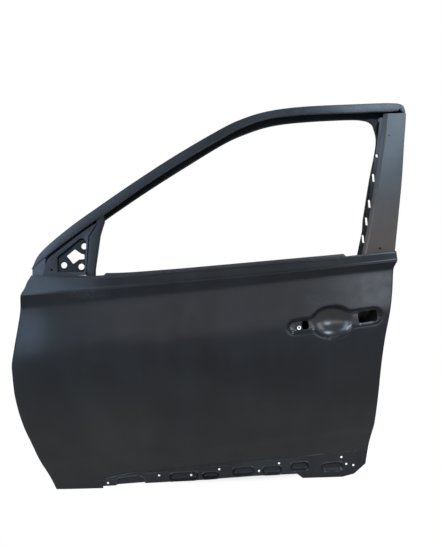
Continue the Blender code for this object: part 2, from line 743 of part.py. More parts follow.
def build_skin():
    lines = hem_lines(0.0) + skin_grid(skin_columns(), 0.0) + hem_lines(1.0)[::-1]
    flange = 6
    for line in lines[flange:-flange]:
        top = line[-1]
        line.append(Vector((top.x, top.y + BELT_LIP, top.z)))
    for line in lines[:flange] + lines[-flange:]:
        line.append(line[-1].copy())
    skin = add_sheet("outer_panel", lines, (0, -1, 0), DIP_COAT)
    outer = scoop_tool("scoop_outer", SHEET)
    boolean(outer, outside_air("skin_air", SHEET / 2))
    boolean(skin, outer, "UNION")
    boolean(skin, scoop_tool("scoop_inner", 0.0))
    line = cladding_line()
    rear_x = SKIN_LENGTH + CUT_OVERRUN
    below = [(line[0][0], -CUT_OVERRUN)] + line + [(rear_x, line[-1][1]), (rear_x, -CUT_OVERRUN)]
    cut(skin, [below], -CUT_OVERRUN, INNER_FACE_Y, label="foot")
    cut(skin, aperture_outlines(), -CUT_OVERRUN, INNER_FACE_Y)
    return skin


def aperture_outlines():
    x, z = SCOOP_X_SHARE * SKIN_LENGTH, SCOOP_Z_SHARE * BELT_HEIGHT
    front = (x - FRONT_APERTURE_REACH, z - GRIP_SLOPE * FRONT_APERTURE_REACH)
    rear = (x + REAR_APERTURE_REACH, z + GRIP_SLOPE * REAR_APERTURE_REACH)
    return [
        slot_outline(front, FRONT_APERTURE_LENGTH, FRONT_APERTURE_HEIGHT, APERTURE_ROUND, GRIP_SLOPE),
        slot_outline(rear, REAR_APERTURE_LENGTH, REAR_APERTURE_HEIGHT, APERTURE_ROUND, GRIP_SLOPE),
    ]


# Inner panel


def wall_x(shares, z, flat):
    """Cavity side of a side wall. A point with no share lies on the flat fixing face."""
    heights = [height for height, _ in shares]
    places = [flat if along is None else along * SKIN_LENGTH for _, along in shares]
    return float(np.interp(z / BELT_HEIGHT, heights, places))


def front_wall(z):
    return wall_x(FRONT_WALL_SHARES, z, HINGE_FACE_X + SHEET)


def rear_wall(z):
    return wall_x(REAR_WALL_SHARES, z, LATCH_FACE_X - SHEET)


def sump_z(x):
    """Floor of the door's cavity, a little above the skin's lower edge."""
    lengths, heights = zip(*cladding_line())
    return float(np.interp(x, lengths, heights)) + SUMP_RISE


def side_stations(edge, wall, share, into):
    """Tub section at each row of one side, sill to belt: flange edge, flange root, wall foot, wall head, face."""
    stations = []
    for z in row_heights(share)[ROW_STEPS[0]:]:
        floor = sump_z(wall(z))
        tub_z = max(z, floor)
        x = wall(tub_z)
        root = edge(z) + into * FLANGE_WIDTH
        stations.append((
            skin_point(edge(z) + into * (HEM_RADIUS + HEM_CLEARANCE), z, INNER_DEPTH),
            skin_point(root, z, INNER_DEPTH),
            Vector((x, WALL_START_Y, tub_z)),
            Vector((x, INNER_FACE_Y - WALL_ROUND, tub_z)),
            Vector((x + into * WALL_ROUND, INNER_FACE_Y, max(z, floor + WALL_ROUND))),
        ))
    return stations


def corner_station(edge, share, into, neighbour):
    """Lower corner: the flange edge drops to the foot while the rest stays with the station above."""
    z = row_heights(share)[0]
    return (skin_point(edge(z) + into * (HEM_RADIUS + HEM_CLEARANCE), z, INNER_DEPTH),) + neighbour[1:]


def bottom_stations():
    """Tub section at each column between the corners: the band that the cladding covers, then the sump."""
    stations = []
    for share in COLUMN_SHARES:
        foot, sill = row_heights(share)[0], row_heights(share)[ROW_STEPS[0]]
        foot_x = front_edge(foot) + share * (rear_edge(foot) - front_edge(foot))
        x = front_edge(sill) + share * (rear_edge(sill) - front_edge(sill))
        floor = sump_z(x)
        stations.append((
            skin_point(foot_x, foot, INNER_DEPTH),
            skin_point(x, sill, INNER_DEPTH),
            Vector((x, WALL_START_Y, floor)),
            Vector((x, INNER_FACE_Y - WALL_ROUND, floor)),
            Vector((x, INNER_FACE_Y, floor + WALL_ROUND)),
        ))
    return stations


def pocket_outlines(growth):
    outlines = []
    for centre, share, size in zip(door_places(POCKET_SHARES), POCKET_LENGTH_SHARES, POCKET_SIZE_SHARES):
        length, height = share * SKIN_LENGTH + 2 * growth, size * POCKET_HEIGHT + 2 * growth
        outlines.append(slot_outline(centre, length, height, size * POCKET_ROUND + growth, POCKET_SLOPE))
    front, rear = door_places(DOME_SHARES)
    return outlines + [capsule(front, DOME_FRONT_RADIUS + growth, rear, DOME_REAR_RADIUS + growth)]


def door_places(shares):
    return [(along * SKIN_LENGTH, up * BELT_HEIGHT) for along, up in shares]


def build_inner_panel():
    front = side_stations(front_edge, front_wall, 0.0, 1.0)
    rear = side_stations(rear_edge, rear_wall, 1.0, -1.0)
    stations = front[::-1] + [corner_station(front_edge, 0.0, 1.0, front[0])] + bottom_stations()
    stations += [corner_station(rear_edge, 1.0, -1.0, rear[0])] + rear
    panel = add_sheet("inner_panel", list(zip(*stations)), (0, -1, 0), DIP_COAT_INSIDE, SHEET, lambda rows: rows[-1])

    band_y = skin_y(SKIN_LENGTH / 2, 0.0) + INNER_DEPTH
    pockets = extruded_group("pocket_outer", pocket_outlines(SHEET), -CUT_OVERRUN, band_y + POCKET_DEPTH + SHEET)
    boolean(pockets, outside_air("inner_air", INNER_DEPTH + SHEET / 2))
    boolean(panel, pockets, "UNION")
    boolean(panel, extruded_group("pocket_inner", pocket_outlines(0.0), -CUT_OVERRUN, band_y + POCKET_DEPTH))

    foot = door_places(INNER_FOOT_SHARES)
    below = [(-CUT_OVERRUN, foot[0][1])] + foot + [(SKIN_LENGTH, foot[-1][1]), (SKIN_LENGTH, -2 * CUT_OVERRUN)]
    below.append((-CUT_OVERRUN, -2 * CUT_OVERRUN))
    band_holes = [circle_outline(place, BAND_HOLE_RADIUS) for place in door_places(BAND_HOLE_SHARES)]
    cut(panel, [below], -CUT_OVERRUN, INNER_FACE_Y / 2, label="foot")
    cut(panel, [door_places(MIRROR_NOTCH_SHARES)], -CUT_OVERRUN, INNER_FACE_Y / 2, label="mirror_notch")
    cut(panel, band_holes, -CUT_OVERRUN, INNER_FACE_Y / 2, label="band_holes")

    holes = [rounded(door_places(corners), SERVICE_HOLE_ROUND) for corners in SERVICE_HOLE_SHARES]
    speaker = (SPEAKER_X_SHARE * SKIN_LENGTH, SPEAKER_Z_SHARE * BELT_HEIGHT)
    holes.append(circle_outline(speaker, SPEAKER_RADIUS, 2 * ROUND_SEGMENTS))
    holes += [circle_outline(place, CLIP_HOLE_RADIUS) for place in door_places(CLIP_HOLE_SHARES)]
    cut(panel, holes, INNER_FACE_Y - WALL_ROUND, INNER_FACE_Y + CUT_OVERRUN)

    fixings = hinge_holes(UPPER_HINGE_Z_SHARE) + hinge_holes(LOWER_HINGE_Z_SHARE) + check_arm_holes()
    cut(panel, fixings, HINGE_FACE_X - CUT_OVERRUN / 2, HINGE_FACE_X + CUT_OVERRUN / 2, "X", "fixings")
    cut(panel, latch_holes(), LATCH_FACE_X - CUT_OVERRUN / 2, LATCH_FACE_X + CUT_OVERRUN / 2, "X", "latch_holes")
    return panel


# Hinges, check arm and latch


def hinge_holes(height_share):
    z = height_share * BELT_HEIGHT
    return [circle_outline((FIXING_Y, z + side * HINGE_PITCH / 2), HINGE_HOLE_RADIUS) for side in (-1, 1)]


def check_arm_holes():
    z = CHECK_ARM_Z_SHARE * BELT_HEIGHT
    slot = slot_outline((FIXING_Y, z), CHECK_SLOT_WIDTH, CHECK_SLOT_HEIGHT, CHECK_SLOT_WIDTH / 4)
    return [slot] + [circle_outline((FIXING_Y, z + side * CHECK_PITCH / 2), CHECK_HOLE_RADIUS) for side in (-1, 1)]


def latch_holes():
    z = LATCH_Z_SHARE * BELT_HEIGHT
    mouth = slot_outline((LATCH_MOUTH_Y, z), LATCH_MOUTH_WIDTH, LATCH_MOUTH_HEIGHT, LATCH_MOUTH_HEIGHT / 4)
    low, high = z - LATCH_PITCH / 2, z + LATCH_PITCH / 2
    near, far = LATCH_MOUTH_Y - LATCH_MOUTH_WIDTH / 2, LATCH_MOUTH_Y + LATCH_MOUTH_WIDTH / 4
    return [mouth] + [circle_outline(place, LATCH_HOLE_RADIUS) for place in ((near, low), (near, high), (far, high))]


def wall_plate(name, wall, into, height_share, height, thickness, holes, holes_x):
    """Reinforcement nested in a corner of the tub: up the side wall, round the bend and onto the face."""
    z = height_share * BELT_HEIGHT
    x = wall(z)
    corner = [
        (x, PLATE_START_Y), (x, INNER_FACE_Y - WALL_ROUND), (x + into * WALL_ROUND, INNER_FACE_Y),
        (x + into * (WALL_ROUND + PLATE_LEG), INNER_FACE_Y),
    ]
    nested = offset_line(corner, SEAM * into)
    plate = folded(name, nested, z - height / 2, z + height / 2, DIP_COAT_INSIDE, -into * thickness)
    cut(plate, holes, holes_x - CUT_OVERRUN / 2, holes_x + CUT_OVERRUN / 2, "X")
    return plate


def build_hinge_side():
    for name, share in (("upper_hinge", UPPER_HINGE_Z_SHARE), ("lower_hinge", LOWER_HINGE_Z_SHARE)):
        holes = hinge_holes(share)
        wall_plate(
            f"{name}_reinforcement", front_wall, 1.0, share, HINGE_PLATE_HEIGHT, HEAVY_SHEET, holes, HINGE_FACE_X,
        )
        for place, side in (("lower", -1), ("upper", 1)):
            z = share * BELT_HEIGHT + side * HINGE_PITCH / 2
            weld_nut(f"{name}_{place}_nut", HINGE_FACE_X + SHEET + SEAM + HEAVY_SHEET + SEAM, z)
    wall_plate(
        "check_arm_reinforcement", front_wall, 1.0, CHECK_ARM_Z_SHARE, CHECK_PLATE_HEIGHT, REINFORCEMENT_SHEET,
        check_arm_holes(), HINGE_FACE_X,
    )


def build_latch_side():
    wall_plate(
        "latch_reinforcement", rear_wall, -1.0, LATCH_Z_SHARE, LATCH_PLATE_HEIGHT, REINFORCEMENT_SHEET,
        latch_holes(), LATCH_FACE_X,
    )


def weld_nut(name, x, z):
    """Six-sided nut lying against a hinge reinforcement, its axis along X."""
    hexagon = circle_outline((FIXING_Y, z), NUT_RADIUS, 6)
    nut = add_object(name, prism_mesh(name, hexagon, x, x + NUT_HEIGHT, "X"), ZINC)
    bore = circle_outline((FIXING_Y, z), HINGE_HOLE_RADIUS)
    cut(nut, [bore], x - CUT_OVERRUN, x + CUT_OVERRUN, "X")


# Window frame


def frame_curve(shares):
    return curve_through([frame_place(pair) for pair in shares])


def strip_inner_edge():
    outline = frame_curve(STRIP_OUTLINE_SHARES)
    return offset_line(outline, [STRIP_WIDTH * share for share in interpolated(STRIP_WIDTH_SHARES)])


def drain_holes(piece, shares):
    """Small round holes through the outer face of a piece of the frame."""
    for place in (frame_place(pair) for pair in shares):
        outline = circle_outline(place, DRAIN_HOLE_RADIUS)
        cut(piece, [outline], frame_y(*place) - STRIP_WALL / 2, frame_y(*place) + STRIP_WALL / 2, label="drain")


def build_window_frame_outer():
    """Outer half of the window frame: foot of the front pillar, the pillar and the header, one channel section."""
    outline, inner = frame_curve(STRIP_OUTLINE_SHARES), strip_inner_edge()
    lines = [
        [frame_point(place, STRIP_RETURN) for place in outline],
        [frame_point(place, 0.0) for place in outline],
        [frame_point(place, 0.0) for place in inner],
        [frame_point(place, STRIP_WALL) for place in inner],
    ]
    strip = add_sheet("window_frame_outer", lines, (0, -1, 0), DIP_COAT)
    drain_holes(strip, HEADER_HOLE_SHARES)
    return strip


def build_window_frame_inner():
    """Inner half: one hoop that nests in the outer half and stands with both legs in the door."""
    nest = 2 * SHEET + SEAM
    outline = offset_line(frame_curve(HOOP_OUTLINE_SHARES), nest)
    opening = frame_curve(OPENING_SHARES)
    clear = SEAM + SHEET
    behind_mirror = MIRROR_PLATE_DEPTH + MIRROR_RIM + REINFORCEMENT_SHEET + 2 * SEAM + SHEET

    front_top = row_heights(0.0)[-1] + SEAM
    front_legs = [(front_wall(z) + clear, z) for z in (HOOP_LEG_END_SHARE * BELT_HEIGHT, front_top)]
    front_opening = [(x + HOOP_FRONT_LEG_WIDTH, z) for x, z in front_legs]
    rear_top = BELT_HEIGHT + SEAM
    rear_legs = [(rear_wall(min(z, BELT_HEIGHT)) - clear, z) for z in (rear_top, HOOP_REAR_LEG_END_SHARE * BELT_HEIGHT)]
    rear_opening = [(x - HOOP_REAR_LEG_WIDTH, z) for x, z in rear_legs]

    web = front_legs + outline + rear_legs
    edge = front_opening + opening + rear_opening
    hidden = len(front_legs) + CURVE_SEGMENTS
    starts = [behind_mirror] * hidden + [HOOP_START] * (len(web) - hidden)
    lines = [
        [frame_point(place, start) for place, start in zip(web, starts)],
        [frame_point(place, HOOP_DEPTH) for place in web],
        [frame_point(place, HOOP_DEPTH) for place in edge],
        [frame_point(place, HOOP_DEPTH + HOOP_LIP) for place in edge],
    ]
    return add_sheet("window_frame_inner", lines, (0, -1, 0), DIP_COAT_INSIDE)


def plate_front_line():
    """Front edge of the rear pillar's plate, top to bottom, ending behind the skin on the channel's line."""
    line = frame_curve(PLATE_FRONT_SHARES)
    top, drop = Vector(line[-1]), Vector(frame_place(REAR_CHANNEL_DROP_SHARES))
    return line + [tuple(top + (drop - top).normalized() * PLATE_TAIL)]


def build_rear_pillar_plate():
    front = plate_front_line()
    foot_x = PLATE_REAR_FOOT_SHARE * SKIN_LENGTH
    rear = frame_curve(HOOP_OUTLINE_SHARES)[-(PLATE_STATIONS - 1) * CURVE_SEGMENTS - 1:]
    above, foot = Vector(rear[-1]), Vector((foot_x, BELT_HEIGHT))
    rear += [tuple(above.lerp(foot, step / CURVE_SEGMENTS)) for step in range(1, CURVE_SEGMENTS + 1)]
    rear.append((foot_x, front[-1][1]))
    lines = [
        [frame_point(place, STRIP_RETURN) for place in rear],
        [frame_point(place, 0.0) for place in rear],
        [frame_point(place, 0.0) for place in front],
        [frame_point(place, PLATE_FRONT_WALL) for place in front],
    ]
    plate = add_sheet("rear_pillar_plate", lines, (0, -1, 0), DIP_COAT_WARM)
    wall = rear_wall(BELT_HEIGHT) - FLANGE_WIDTH
    top = BELT_HEIGHT + 2 * SEAM
    notch = [(wall, 0.0), (SKIN_LENGTH + CUT_OVERRUN, 0.0), (SKIN_LENGTH + CUT_OVERRUN, top), (wall, top)]
    cut(plate, [notch], -CUT_OVERRUN, INNER_FACE_Y)
    drain_holes(plate, PLATE_HOLE_SHARES)
    return plate


# Mirror corner


def mirror_point(place, depth):
    """Point on the mirror corner's own flat plane, taken from the frame at the corner's two sides."""
    x, z = place
    low, high = MIRROR_FRONT_SHARE * SKIN_LENGTH, FRONT_CHANNEL_SHARES[1][0] * SKIN_LENGTH
    bow = plan_bow(low) + (plan_bow(high) - plan_bow(low)) * (x - low) / (high - low)
    return Vector((x, FRAME_FOOT_Y + TUMBLEHOME_SLOPE * (z - FRAME_KINK_SHARE * BELT_HEIGHT) + bow + depth, z))


def front_channel_x(z):
    """Front edge of the front glass channel at this height."""
    places = sorted((frame_place(pair)[::-1] for pair in FRONT_CHANNEL_SHARES))
    heights, lengths = zip(*places)
    return float(np.interp(z, heights, lengths))


def strip_edge_z(x):
    lengths, heights = zip(*strip_inner_edge())
    return float(np.interp(x, lengths, heights)) - 3 * SEAM


def channel_meets_strip():
    """Height at which the front glass channel's front edge runs into the strip."""
    low, high = BELT_HEIGHT, BELT_HEIGHT + FRAME_HEIGHT
    while high - low > SEAM / 2:
        middle = (low + high) / 2
        if strip_edge_z(front_channel_x(middle) - SEAM) > middle:
            low = middle
        else:
            high = middle
    return low


def mirror_rings():
    """Matched outlines of the corner plate: its outer edge, and the rim of its opening."""
    rim = [frame_place(pair) for pair in MIRROR_RIM_SHARES]
    low = frame_place((0.0, MIRROR_LOW_SHARE))[1]
    front_x = MIRROR_FRONT_SHARE * SKIN_LENGTH
    upper = [(x, strip_edge_z(x)) for x in (front_x + FLANGE_WIDTH / 4, rim[2][0], rim[3][0])]
    bend = frame_place(FRONT_CHANNEL_SHARES[1])[1]
    rear = [(front_channel_x(z) - SEAM, z) for z in (channel_meets_strip(), bend, rim[6][1], low)]
    edge = [(front_x, rim[0][1])] + upper + rear + [(rim[8][0], low), (MIRROR_FOOT_SHARE * SKIN_LENGTH, low)]
    return edge, rim


def build_mirror_corner():
    edge, rim = mirror_rings()
    rings = ((edge, MIRROR_PLATE_DEPTH), (rim, MIRROR_PLATE_DEPTH), (rim, MIRROR_PLATE_DEPTH + MIRROR_RIM))
    lines = [[mirror_point(place, depth) for place in ring + ring[:1]] for ring, depth in rings]
    corner = add_sheet("mirror_corner_plate", lines, (0, -1, 0), DIP_COAT)
    drain_holes(corner, MIRROR_PLATE_HOLE_SHARES)

    depth = MIRROR_PLATE_DEPTH + MIRROR_RIM + SEAM
    inner_line = [mirror_point(place, depth) for place in edge]
    mesh = flat_sheet_mesh("mirror_reinforcement", inner_line, (0, -1, 0))
    plate = solid_sheet("mirror_reinforcement", mesh, DIP_COAT_INSIDE, REINFORCEMENT_SHEET)
    holes = [circle_outline(frame_place(pair), MIRROR_HOLE_RADIUS, ROUND_SEGMENTS) for pair in MIRROR_HOLE_SHARES]
    star = [frame_place(pair) for pair in MIRROR_STAR_SHARES]
    cut(plate, holes + [star], -CUT_OVERRUN, INNER_FACE_Y)

    front_x, low = FOOT_PLATE_FRONT_SHARE * SKIN_LENGTH, frame_place((0.0, MIRROR_LOW_SHARE))[1]
    top = [(front_x, strip_edge_z(front_x)), (edge[0][0] - SEAM, edge[1][1] - FLANGE_WIDTH / 4)]
    foot = [(front_x, low + FLANGE_WIDTH / 4), (edge[-1][0] - SEAM, low)]
    lines = [
        [frame_point(place, MIRROR_PLATE_DEPTH) for place in top],
        [frame_point(place, MIRROR_PLATE_DEPTH) for place in foot],
        [frame_point(place, MIRROR_PLATE_DEPTH + FOOT_PLATE_FLANGE) for place in foot],
    ]
    add_sheet("pillar_foot_plate", lines, (0, -1, 0), DIP_COAT)


# Glass channels


def channel(name, web, width, coat):
    """U section open to the glass. Width is signed: from the web towards the glass. Flanges lie square to Y."""
    lines = [[], [], [], []]
    for x, z in web:
        y = frame_y(x, z) + CHANNEL_START
        section = ((x + width, y), (x, y), (x, y + CHANNEL_DEPTH), (x + width, y + CHANNEL_DEPTH))
        for line, (place_x, place_y) in zip(lines, section):
            line.append(Vector((place_x, place_y, z)))
    return add_sheet(name, lines, (-width, 0, 0), coat, SHEET)


def channel_bracket(name, web_x, width, seat_y, low):
    """Z-shaped strap from a channel's inner flange to the inner panel's face."""
    into = 1.0 if width > 0 else -1.0
    seat = seat_y + 2 * SEAM
    face = INNER_FACE_Y - SEAM - REINFORCEMENT_SHEET
    section = [
        (web_x + width, seat), (web_x - into * CHANNEL_BRACKET_STEP, seat),
        (web_x - into * 3 * CHANNEL_BRACKET_STEP, face),
        (web_x - into * (3 * CHANNEL_BRACKET_STEP + CHANNEL_BRACKET_FOOT), face),
    ]
    return folded(name, section, low, low + CHANNEL_BRACKET_HEIGHT, DIP_COAT_INSIDE, -into * REINFORCEMENT_SHEET)


def build_glass_channels():
    front_web = [frame_place(pair) for pair in FRONT_CHANNEL_SHARES]
    channel("front_glass_channel", front_web, CHANNEL_WIDTH, DIP_COAT)
    rear_web = [(x - SEAM, z) for x, z in plate_front_line()[CURVE_SEGMENTS:]]
    drop = frame_place(REAR_CHANNEL_DROP_SHARES)
    rear_web.append((drop[0] - SEAM, drop[1]))
    rear = channel("rear_glass_channel", rear_web, -REAR_CHANNEL_WIDTH, DIP_COAT)
    slots = []
    for rise in CHANNEL_SLOT_SHARES:
        z = frame_place((0.0, rise))[1]
        x = float(np.interp(-z, [-place[1] for place in rear_web], [place[0] for place in rear_web]))
        centre = (x - REAR_CHANNEL_WIDTH * 2 / 3, z)
        slots.append(slot_outline(centre, CHANNEL_SLOT_WIDTH, CHANNEL_SLOT_LENGTH, CHANNEL_SLOT_WIDTH / 3))
    for outline in slots:
        x, z = outline[0]
        middle = frame_y(x, z) + CHANNEL_START
        cut(rear, [outline], middle - CHANNEL_DEPTH / 2, middle + CHANNEL_DEPTH / 2)

    for name, web, width in (("front", front_web, CHANNEL_WIDTH), ("rear", rear_web, -REAR_CHANNEL_WIDTH)):
        x, low = web[-1]
        start = low + SEAM
        above = web[-2]
        top_x = x + (above[0] - x) * (start + CHANNEL_BRACKET_HEIGHT - low) / (above[1] - low)
        seat = max(frame_y(x, low), frame_y(top_x, low)) + CHANNEL_START + CHANNEL_DEPTH
        channel_bracket(f"{name}_channel_bracket", top_x, width, seat, start)


# Belt reinforcements


def build_outer_belt_beam():
    """Z section along the skin's belt, on the flat above its crease, with a raised lip between its ends."""
    start, end = (share * SKIN_LENGTH for share in BELT_BEAM_SPAN_SHARES)
    rise_start, rise_end = (share * SKIN_LENGTH for share in BELT_BEAM_RAISED_SHARES)
    belt = row_heights(0.5)[-1]
    inside = [front_edge(belt) + share * (rear_edge(belt) - front_edge(belt)) for share in COLUMN_SHARES]
    places = {start, end, rise_start, rise_end, rise_start - BELT_BEAM_RAISE, rise_end + BELT_BEAM_RAISE}
    places |= {x for x in inside if start + BELT_LIP < x < end - BELT_LIP}
    lines = [[], [], [], []]
    for x in sorted(places):
        share = skin_share(x, belt)
        crease, belt_z = line_height("crease", share), line_height("belt", share)
        face = belt_z - crease
        raised = BELT_BEAM_RAISE if rise_start <= x <= rise_end else 0.0
        lip = skin_y(x, belt_z) + BELT_LIP + SEAM
        lines[0].append(skin_point(x, crease + BELT_BEAM_LOWER_SHARE * face, SHEET + SEAM))
        lines[1].append(skin_point(x, crease + BELT_BEAM_UPPER_SHARE * face, SHEET + SEAM))
        lines[2].append(Vector((x, lip, belt_z - BELT_LIP)))
        lines[3].append(Vector((x, lip, belt_z + SHEET + raised)))
    return add_sheet("belt_reinforcement_outer", lines, (0, -1, 0), DIP_COAT)


def build_inner_belt_beam():
    """Hat section against the inner panel's face, just under its top edge."""
    top_front, top_rear = row_heights(0.0)[-1], BELT_HEIGHT
    face = INNER_FACE_Y - SEAM
    hat = face - INNER_BELT_DEPTH
    drops = (
        (SHEET, face), (INNER_BELT_FLANGE, face), (INNER_BELT_FLANGE + INNER_BELT_RUN, hat),
        (INNER_BELT_HEIGHT - INNER_BELT_FLANGE - INNER_BELT_RUN, hat), (INNER_BELT_HEIGHT - INNER_BELT_FLANGE, face),
        (INNER_BELT_HEIGHT, face),
    )
    front_x, rear_x = INNER_BELT_FRONT_SHARE * SKIN_LENGTH, INNER_BELT_REAR_SHARE * SKIN_LENGTH
    low_x, high_x = front_wall(top_front) + WALL_ROUND, rear_wall(top_rear) - WALL_ROUND
    ends = []
    for x in (front_x, rear_x):
        ends.append((x, top_front + (top_rear - top_front) * (x - low_x) / (high_x - low_x)))
    lines = [[Vector((x, y, top - drop)) for x, top in ends] for drop, y in drops]
    return add_sheet("belt_reinforcement_inner", lines, (0, 1, 0), DIP_COAT_INSIDE)


# Side impact beam


def beam_ends():
    front_z, rear_z = BEAM_FRONT_Z_SHARE * BELT_HEIGHT, BEAM_REAR_Z_SHARE * BELT_HEIGHT
    front = Vector((front_wall(front_z) + BEAM_END_GAP, BEAM_Y, front_z))
    return front, Vector((rear_wall(rear_z) - BEAM_END_GAP, BEAM_Y, rear_z))


def build_impact_beam():
    front, rear = beam_ends()
    way = rear - front

    def build(bm):
        bmesh.ops.create_cone(
            bm, cap_ends=False, segments=ROUND_SEGMENTS, radius1=BEAM_RADIUS, radius2=BEAM_RADIUS, depth=way.length,
        )
        bmesh.ops.rotate(bm, matrix=way.to_track_quat("Z", "Y").to_matrix(), verts=bm.verts)
        bmesh.ops.translate(bm, vec=(front + rear) / 2, verts=bm.verts)

    mesh = mesh_from("impact_beam", build)
    mesh.shade_smooth()
    solid_sheet("impact_beam", mesh, DIP_COAT_INSIDE, BEAM_WALL)

    seat = BEAM_Y + BEAM_RADIUS + SEAM
    for name, wall, into, end in (("front", front_wall, 1.0, front), ("rear", rear_wall, -1.0, rear)):
        x = wall(end.z) + into * SEAM
        section = [(x, seat + BEAM_BRACKET_FLANGE), (x, seat), (x + into * BEAM_BRACKET_REACH, seat)]
        low, high = end.z - BEAM_BRACKET_HEIGHT / 2, end.z + BEAM_BRACKET_HEIGHT / 2
        folded(f"impact_beam_bracket_{name}", section, low, high, DIP_COAT_INSIDE, into * REINFORCEMENT_SHEET)

    for number, share in enumerate(PAD_SHARES, 1):
        centre = front.lerp(rear, share)
        corners = [(centre.x + i * PAD_LENGTH / 2, centre.z + j * PAD_HEIGHT / 2) for i, j in SQUARE]
        near = max(skin_y(x, z) for x, z in corners) + SHEET + SEAM
        name = f"antiflutter_pad_{number}"
        add_object(name, prism_mesh(name, corners, near, BEAM_Y - BEAM_RADIUS - SEAM), MASTIC)


# Handle reinforcement


def build_handle_reinforcement():
    """Flat stamping behind the scoop: its window clears the bowl, and its ends close round both apertures."""
    x, z = SCOOP_X_SHARE * SKIN_LENGTH, SCOOP_Z_SHARE * BELT_HEIGHT
    near = scoop_floor() + SHEET + SEAM
    along = Vector((1.0, GRIP_SLOPE)).normalized() * REINFORCEMENT_LENGTH
    across = Vector((-GRIP_SLOPE, 1.0)).normalized() * REINFORCEMENT_HEIGHT
    corners = [tuple(Vector((x, z)) + along * i + across * j) for i, j in REINFORCEMENT_SHARES]
    outline = rounded(corners, REINFORCEMENT_ROUND)
    name = "handle_reinforcement"
    plate = add_object(name, prism_mesh(name, outline, near, near + REINFORCEMENT_SHEET), DIP_COAT_INSIDE)
    window = [
        (a * (BOWL_LENGTH / 2 + BOWL_CLEARANCE) + x, b * (BOWL_HEIGHT / 2 + BOWL_CLEARANCE) + z)
        for a, b in circle_outline((0.0, 0.0), 1.0, ROUND_SEGMENTS)
    ]
    bush_x = x - BUSH_REACH
    bush = (bush_x, z - GRIP_SLOPE * BUSH_REACH - BUSH_DROP)
    rear = aperture_outlines()[1]
    front_x = x - FRONT_APERTURE_REACH + FRONT_APERTURE_LENGTH / 4
    front = slot_outline(
        (front_x, z - GRIP_SLOPE * (x - front_x)), FRONT_APERTURE_LENGTH / 2, FRONT_APERTURE_HEIGHT,
        APERTURE_ROUND, GRIP_SLOPE,
    )
    bore = circle_outline(bush, BUSH_BORE)
    cut(plate, [window], near - CUT_OVERRUN, near + CUT_OVERRUN, label="window")
    cut(plate, [rear, front], near - CUT_OVERRUN, near + CUT_OVERRUN)
    cut(plate, [bore], near - CUT_OVERRUN, near + CUT_OVERRUN, label="bore")
    outline = circle_outline(bush, BUSH_RADIUS, ROUND_SEGMENTS)
    mesh = prism_mesh("handle_bush", outline, near - SEAM - BUSH_HEIGHT, near - SEAM)
    ring = add_object("handle_bush", mesh, ZINC)
    cut(ring, [bore], near - CUT_OVERRUN, near + CUT_OVERRUN)


build_skin()
build_inner_panel()
build_window_frame_outer()
build_window_frame_inner()
build_rear_pillar_plate()
build_mirror_corner()
build_glass_channels()
build_outer_belt_beam()
build_inner_belt_beam()
build_impact_beam()
build_hinge_side()
build_latch_side()
build_handle_reinforcement()
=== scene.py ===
"""Looks of the car door shell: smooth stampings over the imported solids, dip coat, floor, light and camera."""

import math

import bmesh
import bpy
import numpy as np
from mathutils import Euler, Matrix, Vector


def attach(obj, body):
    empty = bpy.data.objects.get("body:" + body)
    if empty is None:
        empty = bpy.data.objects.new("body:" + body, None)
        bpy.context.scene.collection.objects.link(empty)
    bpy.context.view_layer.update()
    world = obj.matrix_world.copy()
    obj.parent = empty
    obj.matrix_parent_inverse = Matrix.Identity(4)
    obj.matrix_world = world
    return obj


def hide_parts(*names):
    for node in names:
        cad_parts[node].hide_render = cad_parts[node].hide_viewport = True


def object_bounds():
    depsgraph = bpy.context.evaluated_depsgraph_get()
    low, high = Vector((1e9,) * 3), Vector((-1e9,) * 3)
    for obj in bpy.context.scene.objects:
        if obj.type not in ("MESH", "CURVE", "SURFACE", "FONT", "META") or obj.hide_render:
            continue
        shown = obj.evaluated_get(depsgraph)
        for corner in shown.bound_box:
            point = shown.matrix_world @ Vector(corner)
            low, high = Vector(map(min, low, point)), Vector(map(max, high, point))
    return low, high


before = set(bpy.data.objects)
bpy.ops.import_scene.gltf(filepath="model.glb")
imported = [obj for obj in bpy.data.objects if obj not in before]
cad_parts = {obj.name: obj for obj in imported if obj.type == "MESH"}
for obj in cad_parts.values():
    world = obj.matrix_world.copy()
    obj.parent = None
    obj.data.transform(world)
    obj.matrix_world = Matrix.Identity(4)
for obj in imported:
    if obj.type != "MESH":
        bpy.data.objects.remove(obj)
cad_low, cad_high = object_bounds()

# Sizes, in metres, as the solids have them
SKIN_LENGTH = 1.149
BELT_HEIGHT = 0.697
FRAME_HEIGHT = 0.445
INNER_FACE_Y = 0.118
SHEET = 0.0008
SEAM = 0.0004
HINGE_WALL_X = 0.058
LATCH_WALL_X = 1.068
HEM_CLEARANCE = 0.0008
HEM_WIDTH = 0.013
FLANGE_WIDTH = 0.016
HEM_RADIUS = SHEET + HEM_CLEARANCE + SHEET / 2
INNER_DEPTH = SHEET + HEM_CLEARANCE
ORIGIN = np.array((HINGE_WALL_X, 0.084, 0.717 * BELT_HEIGHT))

